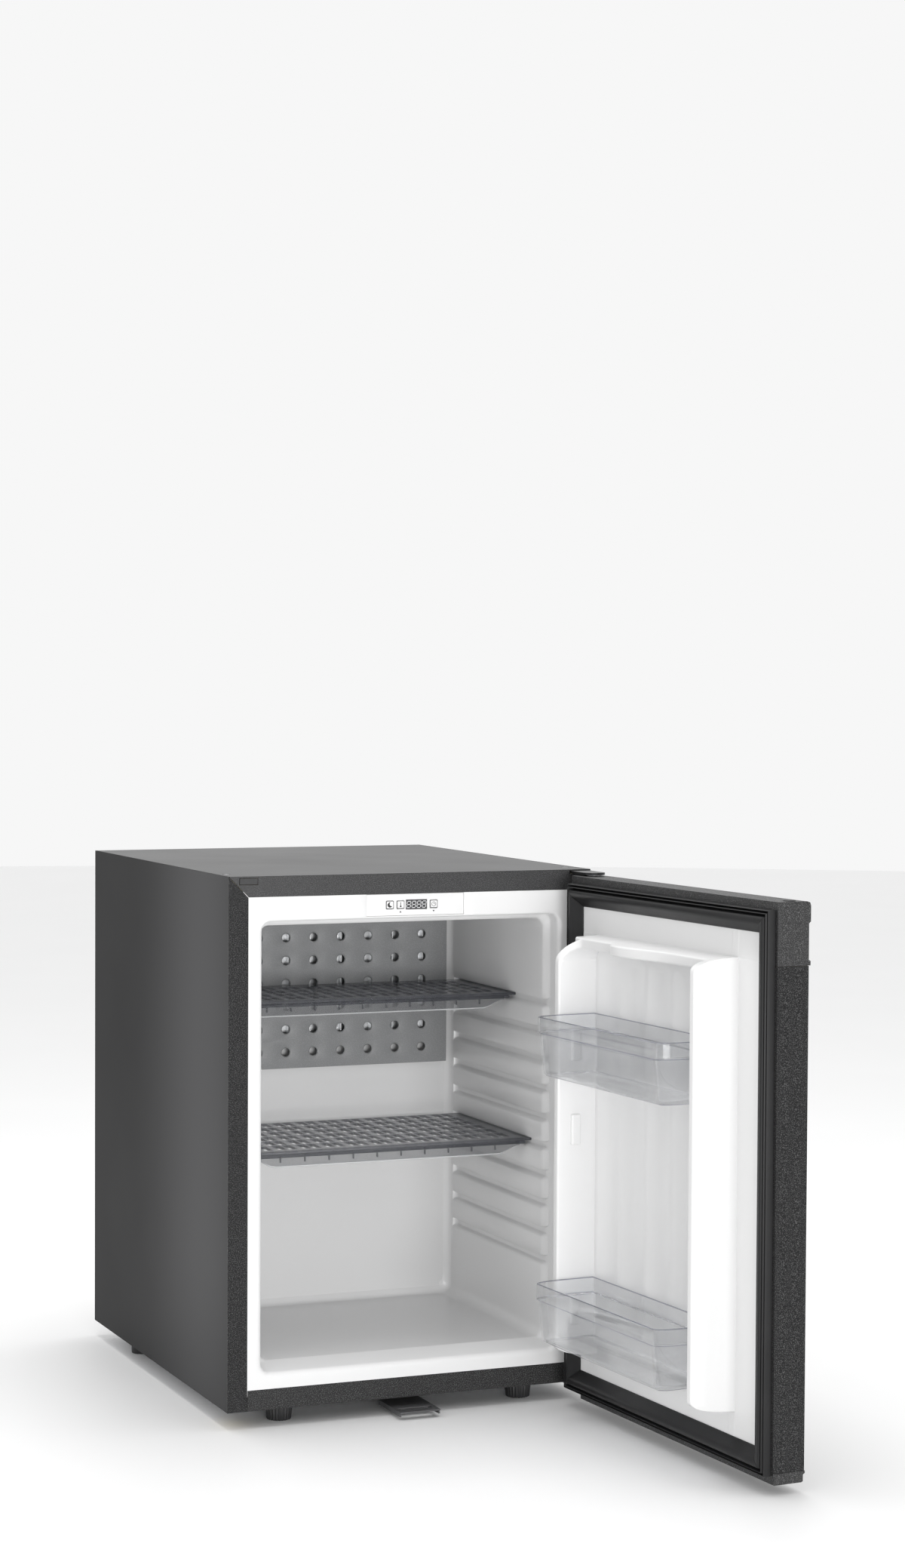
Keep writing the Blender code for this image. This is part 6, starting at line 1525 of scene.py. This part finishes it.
@dataclass(frozen=True)
class EvaporatorCover:
    """Coated sheet cover with rows of round holes whose rims are pressed in, and edges folded to the wall.

    Fields are in the cabinet's coordinates: the sheet's sides, face, wall line and thickness, and the holes'
    radius, pitches, counts, middle, top row, and rim as pairs of added radius and depth.
    """

    left: float = -0.1405
    right: float = 0.1455
    low: float = 0.3300
    high: float = 0.5062
    front: float = 0.2620
    back: float = 0.2777
    sheet: float = 0.0008
    hole: float = 0.00525
    pitch: tuple[float, float] = (0.0324, 0.0254)
    counts: tuple[int, int] = (8, 6)
    middle: float = 0.0025
    top_row: float = 0.4742
    rim: Profile = ((0.0, 0.0010), (0.0001, 0.0005), (0.0005, 0.0001), (0.0010, 0.0))

    def cell(self) -> Points:
        """One hole's patch: rings from the pressed rim out to the cell's rectangle.

        Each ring is radius * (cos t, sin t); the last one is pushed out along its direction to the rectangle,
        by the smaller of half width / |cos t| and half height / |sin t|.

        Returns:
            Array of shape (rings, angles, 3) about the cell's middle.
        """
        half_x, half_z = self.pitch[0] / 2, self.pitch[1] / 2
        corner = math.atan2(half_z, half_x)
        quarter = np.concatenate([np.linspace(0, corner, 5), np.linspace(corner, np.pi / 2, 6)[1:]])
        t = np.concatenate([quarter, np.pi - quarter[-2::-1], np.pi + quarter[1:], 2 * np.pi - quarter[-2:0:-1]])
        ray = np.stack([np.cos(t), np.zeros_like(t), np.sin(t)], -1)
        away = np.minimum(half_x / np.maximum(np.abs(np.cos(t)), 1e-9), half_z / np.maximum(np.abs(np.sin(t)), 1e-9))
        return np.stack([ray * (self.hole + out) + [0, deep, 0] for out, deep in self.rim] + [ray * away[:, None]])

    def build(self) -> None:
        """Lay the cells, the border between them and the folds, and the folded edges."""
        shell = Shell(CABINET)
        cell = self.cell()
        columns, rows = self.counts
        x_mid = self.middle + (np.arange(columns) - (columns - 1) / 2) * self.pitch[0]
        z_mid = self.top_row - np.arange(rows) * self.pitch[1]
        for x in x_mid:
            for z in z_mid:
                shell.grid(cell + [x, self.front, z], around=True)
        rim = cell[-1]
        half_x, half_z = self.pitch[0] / 2, self.pitch[1] / 2
        across = np.unique(np.round(rim[np.abs(rim[:, 2] - half_z) < 1e-7, 0], 7))
        upward = np.unique(np.round(rim[np.abs(rim[:, 0] - half_x) < 1e-7, 2], 7))
        x = np.unique(np.round((x_mid[:, None] + across).ravel(), 6))
        z = np.unique(np.round((z_mid[:, None] + upward).ravel(), 6))
        x = np.concatenate([[self.left], x, [self.right]])
        z = np.concatenate([[self.low], z, [self.high]])
        keep = np.ones((len(x) - 1, len(z) - 1), bool)
        keep[1:-1, 1:-1] = False
        shell.grid(in_plane(mesh_lines(x, z), "y", self.front), keep=keep)
        border = np.concatenate([np.stack([x, np.full_like(x, self.low)], -1)[:-1],
                                 np.stack([np.full_like(z, self.right), z], -1)[:-1],
                                 np.stack([x[::-1], np.full_like(x, self.high)], -1)[:-1],
                                 np.stack([np.full_like(z, self.left), z[::-1]], -1)[:-1]])
        shell.grid(np.stack([in_plane(border, "y", y) for y in (self.front, self.back)]), around=True)
        shell.settle("perforated_cover", "cabinet", Finish.PLATE, 40.0, "evaporator_cover", wall=self.sheet)


@dataclass(frozen=True)
class CoolingUnit:
    """Absorption unit in the open bay: vessel, rising coil, jacketed boiler, finned condenser and pipes.

    Fields are in the cabinet's coordinates: the plane of the unit, and the places and sizes of its pieces. `plug`
    is the insulated plug's back, top and bottom, `entry` where the liquid pipe goes into it, `weld` how much thicker
    a tube is at its welded ends, `weld_steps` the rings there, the last of which is thicker by `weld_end`, and `gap`
    what stays between a tube's end and the piece it is welded to. Beads, bands and collars are pairs of added
    radius, or radius for collars, and place along the axis.
    """

    y: float = 0.4050
    vessel: tuple[float, float, float, float] = (-0.1250, 0.0600, 0.0760, 0.0300)
    coil: tuple[float, float, float] = (-0.1230, 0.0580, 0.1160)
    coil_rise: float = 0.0260
    coil_turns: int = 4
    coil_bend: float = 0.0220
    coil_tube: float = 0.0080
    boiler: tuple[float, float, float, float] = (0.1280, 0.0630, 0.3180, 0.0320)
    pipe: float = 0.0065
    condenser: tuple[float, float, float, float] = (-0.1400, 0.0950, 0.4960, 0.5060)
    fins: tuple[int, float, float, float, float] = (14, 0.0130, 0.0560, 0.0400, 0.0008)
    plug: tuple[float, float, float] = (0.3296, 0.4730, 0.3180)
    entry: float = -0.0880
    weld: float = 0.0007
    weld_steps: tuple[float, ...] = (0.0, 0.0015, 0.0030, 0.0045)
    weld_end: float = 0.0003
    gap: float = 0.0003
    dome: float = 0.0100
    bead: Profile = ((0.0, 0.0170), (0.0004, 0.0180), (0.0004, 0.0200), (0.0, 0.0210))
    band_ends: float = 0.0300
    band: Profile = ((-0.0010, -0.0030), (0.0003, -0.0030), (0.0004, 0.0030), (-0.0010, 0.0030))
    collar: Profile = ((0.0078, -0.0016), (0.0092, -0.0014), (0.0096, -0.0004), (0.0096, 0.0004), (0.0078, 0.0004))
    fin_corner: float = 0.0030

    def coil_path(self) -> Points:
        """Centres of the coil: flat loops with half circles for ends, rising evenly from point to point.

        Returns:
            Array of shape (count, 3).
        """
        left, right, low = self.coil
        bend = self.coil_bend
        t = np.radians(np.linspace(270, 90, 17))
        near = np.stack([left + bend + bend * np.cos(t), self.y + bend * np.sin(t), np.linspace(0, 0.4, 17)], -1)
        t = np.radians(np.linspace(90, -90, 17))
        far = np.stack([right - bend + bend * np.cos(t), self.y + bend * np.sin(t), np.linspace(0.5, 0.9, 17)], -1)
        turn = np.concatenate([near, far])
        path = np.concatenate([turn + [0, 0, index] for index in range(self.coil_turns)])
        path[:, 2] = low + self.coil_rise * path[:, 2]
        return path

    def bar(self, name: str, path: Points, radius: float, node: str) -> None:
        """A painted tube along a path, thickened over its last 4 mm where it is welded in.

        Args:
            name: the piece's name.
            path: centres.
            radius: the tube's radius.
            node: the solid it stands for.
        """
        first, last = path[1] - path[0], path[-2] - path[-1]
        first, last = first / np.linalg.norm(first), last / np.linalg.norm(last)
        steps = np.array(self.weld_steps)[:, None]
        path = np.concatenate([path[0] + steps * first, path[1:-1], (path[-1] + steps * last)[::-1]])
        swell = np.full(len(path), radius)
        swell[[0, 1, -1, -2]] = radius + self.weld
        swell[[2, -3]] = radius + self.weld_end
        shell = Shell(CABINET)
        tube(shell, path, swell)
        shell.settle(name, "cabinet", Finish.UNIT_PAINT, 50.0, node)

    def vessel_and_coil(self) -> None:
        """The lying vessel with domed ends and two weld beads, and the coil above it."""
        left, right, z, radius = self.vessel
        dome = [(radius * math.sin(turn), left + self.dome * (1 - math.cos(turn)))
                for turn in np.radians(range(0, 91, 10))]
        bead = [(radius + out, left + place) for out, place in self.bead]
        half = [(reach, place - (left + right) / 2) for reach, place in dome + bead]
        profile = half + [(reach, -place) for reach, place in half[::-1]]
        shell = Shell(CABINET)
        turned(shell, ((left + right) / 2, self.y, z), profile, "x", 64)
        shell.settle("vessel_shell", "cabinet", Finish.UNIT_PAINT, 40.0, "absorber_vessel")
        self.bar("coil_tube", self.coil_path(), self.coil_tube, "absorber_coil")

    def jacket(self) -> None:
        """The boiler's lagged jacket with soft shoulders, and three thin bands round it."""
        x, low, high, radius = self.boiler
        soft = radius / 4
        turn = np.radians(np.linspace(0, 90, 8))
        upper = [(radius - soft + soft * math.sin(a), high - soft + soft * math.cos(a)) for a in turn]
        lower = [(radius - soft + soft * math.cos(a), low + soft - soft * math.sin(a)) for a in turn]
        shell = Shell(CABINET)
        turned(shell, (x, self.y, 0.0), [(0.0, high)] + upper + lower + [(0.0, low)], "z", 64)
        shell.settle("boiler_jacket", "cabinet", Finish.LAGGING, 50.0, "boiler_case")
        bands = Shell(CABINET)
        for place in (low + self.band_ends, (low + high) / 2, high - self.band_ends):
            turned(bands, (x, self.y, place), [(radius + out, along) for out, along in self.band], "z", 64)
        bands.settle("boiler_bands", "cabinet", Finish.ZINC, 30.0)

    def finned_condenser(self) -> None:
        """The sloping condenser tube and its thin fins with rounded corners and pressed collars."""
        left, right, low, high = self.condenser
        ends = np.array([[left, self.y, low], [right, self.y, high]])
        path = ends[0] + np.linspace(0, 1, 12)[:, None] * (ends[1] - ends[0])
        self.bar("condenser_tube", path, self.coil_tube, "condenser")
        count, pitch, wide, tall, thick = self.fins
        z = (low + high) / 2
        shell = Shell(CABINET)
        for index in range(count):
            x = (left + right) / 2 + (index - (count - 1) / 2) * pitch
            outline = rounded(self.y - wide / 2, z - tall / 2, self.y + wide / 2, z + tall / 2, self.fin_corner, 4)
            shell.grid(np.stack([in_plane(outline, "x", x + side * thick / 2) for side in (-1, 1)]),
                       around=True, ends=True)
            turned(shell, (x, self.y, low + (high - low) * (x - left) / (right - left)), self.collar, "x", 24)
        shell.settle("condenser_fins", "cabinet", Finish.UNIT_PAINT, 30.0)

    def pipes(self) -> None:
        """Rising pipe to the condenser, liquid pipe down into the plug, and vapour pipe from it to the coil."""
        x, boiler_high = self.boiler[0], self.boiler[2]
        left, right, low, high = self.condenser
        bend = 3 * self.pipe
        elbow = in_plane(arc(x - bend, high - bend, bend, 0, 90, 14), "y", self.y)
        rising = np.concatenate([[[x, self.y, boiler_high + self.gap]], elbow, [[right + self.gap, self.y, high]]])
        self.bar("rising_tube", rising, self.pipe, "rising_pipe")
        bend = 2.5 * self.pipe
        back, plug_high, plug_low = self.plug
        z, into = plug_high - 2 * bend, self.entry + 2 * bend
        down = left - bend
        fall = in_plane(np.concatenate([arc(down, low - bend, bend, 90, 180, 12),
                                        arc(down, z + bend, bend, 180, 270, 12)]), "y", self.y)
        inward = in_plane(arc(into - bend, self.y - bend, bend, 90, 0, 12), "z", z)
        liquid = np.concatenate([[[left - self.gap, self.y, low]], fall, inward, [[into, back, z]]])
        self.bar("liquid_tube", liquid, self.pipe, "liquid_pipe")
        top = self.coil_path()[-1]
        z = plug_low + 2 * bend
        curve = in_plane(arc(top[1] - bend, z - bend, bend, 90, 0, 12), "x", top[0])
        vapour = np.concatenate([[[top[0], back, z]], curve, [[top[0], top[1], top[2] + self.coil_tube + self.gap]]])
        self.bar("vapour_tube", vapour, self.pipe, "vapour_pipe")

    def build(self) -> None:
        """Build every piece of the unit."""
        self.vessel_and_coil()
        self.jacket()
        self.finned_condenser()
        self.pipes()


@dataclass(frozen=True)
class SmallTurnings:
    """Ribbed front feet, plain rear feet, top screws and the door's domed plug.

    Fields are the places and profiles of both kinds of feet, the screws and the plug, and the count and depth of
    the ribs.
    """

    front_foot: tuple[float, float] = (0.1345, 0.0320)
    rear_foot: tuple[float, float] = (0.1755, 0.3770)
    screw: tuple[float, float] = (0.1900, 0.0400)
    plug: tuple[float, float] = (-0.1900, -0.0302)
    ribs: int = 24
    rib_depth: float = 0.0008
    ribbed: Profile = ((0.0, 0.0), (0.0118, 0.0), (0.0126, 0.0004), (0.0129, 0.0014), (0.0144, 0.0164),
                       (0.0142, 0.0172), (0.0134, 0.0177), (0.0030, 0.0177), (0.0030, 0.0280), (0.0, 0.0280))
    plain: Profile = ((0.0, 0.0), (0.0116, 0.0), (0.0119, 0.0006), (0.0126, 0.0170), (0.0120, 0.0177),
                      (0.0030, 0.0177), (0.0030, 0.0208), (0.0, 0.0208))
    head: Profile = ((0.0, 0.5542), (0.0019, 0.5542), (0.0019, 0.5592), (0.0038, 0.56115), (0.0035, 0.56135),
                     (0.0017, 0.56135), (0.0012, 0.56030), (0.0, 0.56000))
    dome: Profile = ((0.0, 0.5504), (0.0056, 0.5504), (0.0057, 0.5562), (0.0061, 0.5565), (0.0060, 0.5570),
                     (0.0054, 0.5574), (0.0035, 0.5576), (0.0, 0.5577))

    def build(self) -> None:
        """Turn every piece."""
        for side, word in ((-1, "left"), (1, "right")):
            foot, rear, head = Shell(CABINET), Shell(CABINET), Shell(CABINET)
            turned(foot, (side * self.front_foot[0], self.front_foot[1], 0.0), self.ribbed, "z", 8 * self.ribs,
                   self.ribs, self.rib_depth)
            foot.settle("ribbed_foot_" + word, "front_foot_" + word, Finish.BLACK, 30.0, "front_foot_" + word)
            turned(rear, (side * self.rear_foot[0], self.rear_foot[1], 0.0), self.plain, "z", 48)
            rear.settle("plain_foot_" + word, "cabinet", Finish.BLACK, 35.0, "rear_foot_" + word)
            turned(head, (side * self.screw[0], self.screw[1], 0.0), self.head, "z", 32)
            head.settle("screw_head_" + word, "cabinet", Finish.PLATED, 30.0, "top_screw_" + word)
        plug = Shell(DOOR)
        turned(plug, (*self.plug, 0.0), self.dome, "z", 48)
        plug.settle("domed_plug", "door", Finish.BLACK, 35.0, "door_plug")


@dataclass(frozen=True)
class Lamp:
    """One soft rectangular light.

    Fields are its name, where it hangs, the point it faces, its width and height in metres, its power in watts
    and the angle in degrees over which it shines.
    """

    name: str
    place: Triple
    aim: Triple
    size: tuple[float, float]
    power: float
    spread: float = 180.0

    def hang(self) -> bpy.types.Object:
        """Place the light.

        Returns:
            The light.
        """
        data = bpy.data.lights.new(self.name, "AREA")
        data.shape = "RECTANGLE"
        data.size, data.size_y = self.size
        data.energy = self.power
        data.spread = math.radians(self.spread)
        lamp = bpy.data.objects.new(self.name, data)
        bpy.context.scene.collection.objects.link(lamp)
        lamp.location = self.place
        lamp.rotation_euler = (Vector(self.aim) - Vector(self.place)).to_track_quat("-Z", "Y").to_euler()
        return lamp


@dataclass(frozen=True)
class Studio:
    """Pale floor, soft lights and the camera.

    Fields are the camera's place, its turn about z, x and its own axis in radians, its lens and sensor in mm, the
    floor's tones, its count of rings and sides and its inner and outer radius, the surround's strength, and the
    lights.
    """

    place: Triple = (-1.18880, -2.92725, 0.76564)
    yaw: float = 0.39760
    pitch: float = -0.03592
    roll: float = 0.00524
    lens: float = 69.80
    sensor: float = 36.0
    floor_tones: tuple[float, float] = (0.90, 0.93)
    floor_grid: tuple[int, int] = (12, 64)
    floor_reach: tuple[float, float] = (0.2, 9.0)
    surround: float = 0.93
    key: Lamp = Lamp("key", (0.0, 0.3, 2.6), (0.0, 0.1, 0.5), (1.4, 1.4), 26.0)
    front: Lamp = Lamp("front", (-0.35, -3.4, 0.3), (0.0, 0.1, 0.35), (1.4, 0.55), 46.0)
    side: Lamp = Lamp("side", (-0.9, -0.06, 0.3), (-0.2154, 0.06, 0.3), (0.12, 0.9), 2.0, 34.0)

    def axes(self) -> Points:
        """The camera's right, up and backward directions, worked out from its angles.

        Returns:
            Three rows, one for each direction.
        """
        cos_pitch = math.cos(self.pitch)
        ahead = np.array([math.sin(self.yaw) * cos_pitch, math.cos(self.yaw) * cos_pitch, math.sin(self.pitch)])
        right = np.array([math.cos(self.yaw), -math.sin(self.yaw), 0.0])
        up = np.cross(right, ahead)
        rolled = math.cos(self.roll) * right + math.sin(self.roll) * up
        return np.stack([rolled, -math.sin(self.roll) * right + math.cos(self.roll) * up, -ahead])

    def camera(self) -> None:
        """Place the camera."""
        data = bpy.data.cameras.new("camera")
        data.lens = self.lens
        data.sensor_width = self.sensor
        data.sensor_fit = "AUTO"
        camera = bpy.data.objects.new("camera", data)
        bpy.context.scene.collection.objects.link(camera)
        camera.matrix_world = Matrix.Translation(self.place) @ Matrix(self.axes().T.tolist()).to_4x4()
        bpy.context.scene.camera = camera

    def floor(self) -> None:
        """A pale floor disc, computed as rings r * (cos t, sin t) with r even from the inner to the outer radius."""
        rings, sides = self.floor_grid
        t = np.linspace(0, 2 * np.pi, sides, endpoint=False)
        radius = np.linspace(*self.floor_reach, rings)[:, None]
        disc = np.stack([radius * np.cos(t), radius * np.sin(t)], -1)
        shell = Shell(Placement()).grid(in_plane(disc, "z", 0.0), around=True)
        shell.caps.append(list(range(sides)))
        graph = Graph("pale_floor")
        cloud = graph.noise(0.4, 2.0)
        low, high = self.floor_tones
        graph.feed(IOR=1.45, Base_Color=graph.blend(cloud, (low,) * 3, (high,) * 3), Roughness=0.5 + 0.1 * cloud)
        graph.relief(graph.noise(0.01, 1.0), 0.00005, 0.3)
        shell.build("floor", graph.material)

    def sky(self) -> None:
        """An even pale surround."""
        world = bpy.data.worlds.new("surround")
        world.use_nodes = True
        background = world.node_tree.nodes["Background"]
        background.inputs["Color"].default_value = (1.0, 1.0, 1.0, 1.0)
        background.inputs["Strength"].default_value = self.surround
        bpy.context.scene.world = world
        bpy.context.scene.view_settings.view_transform = "Standard"

    def build(self) -> None:
        """Set up floor, surround, lights and camera; the side light reaches the left side panel alone."""
        self.floor()
        self.sky()
        self.key.hang()
        self.front.hang()
        flagged = bpy.data.collections.new("side light only")
        flagged.objects.link(frame["nodes"]["side_panel_left"])
        self.side.hang().light_linking.receiver_collection = flagged
        self.camera()


def main() -> None:
    """Dress the solids, build every piece and set up the studio."""
    logging.basicConfig(level=logging.INFO, format="%(message)s", stream=sys.stdout)
    CarriedSolids(frame["nodes"], frame["record"]).dress()
    for part in (DoorSeal(), DoorLiner(), InnerLiner(), EvaporatorCover(), DoorRacks(), Shelves(), ControlFace(),
                 SmallTurnings(), CoolingUnit()):
        part.build()
    Studio().build()


if __name__ == "__main__":
    main()
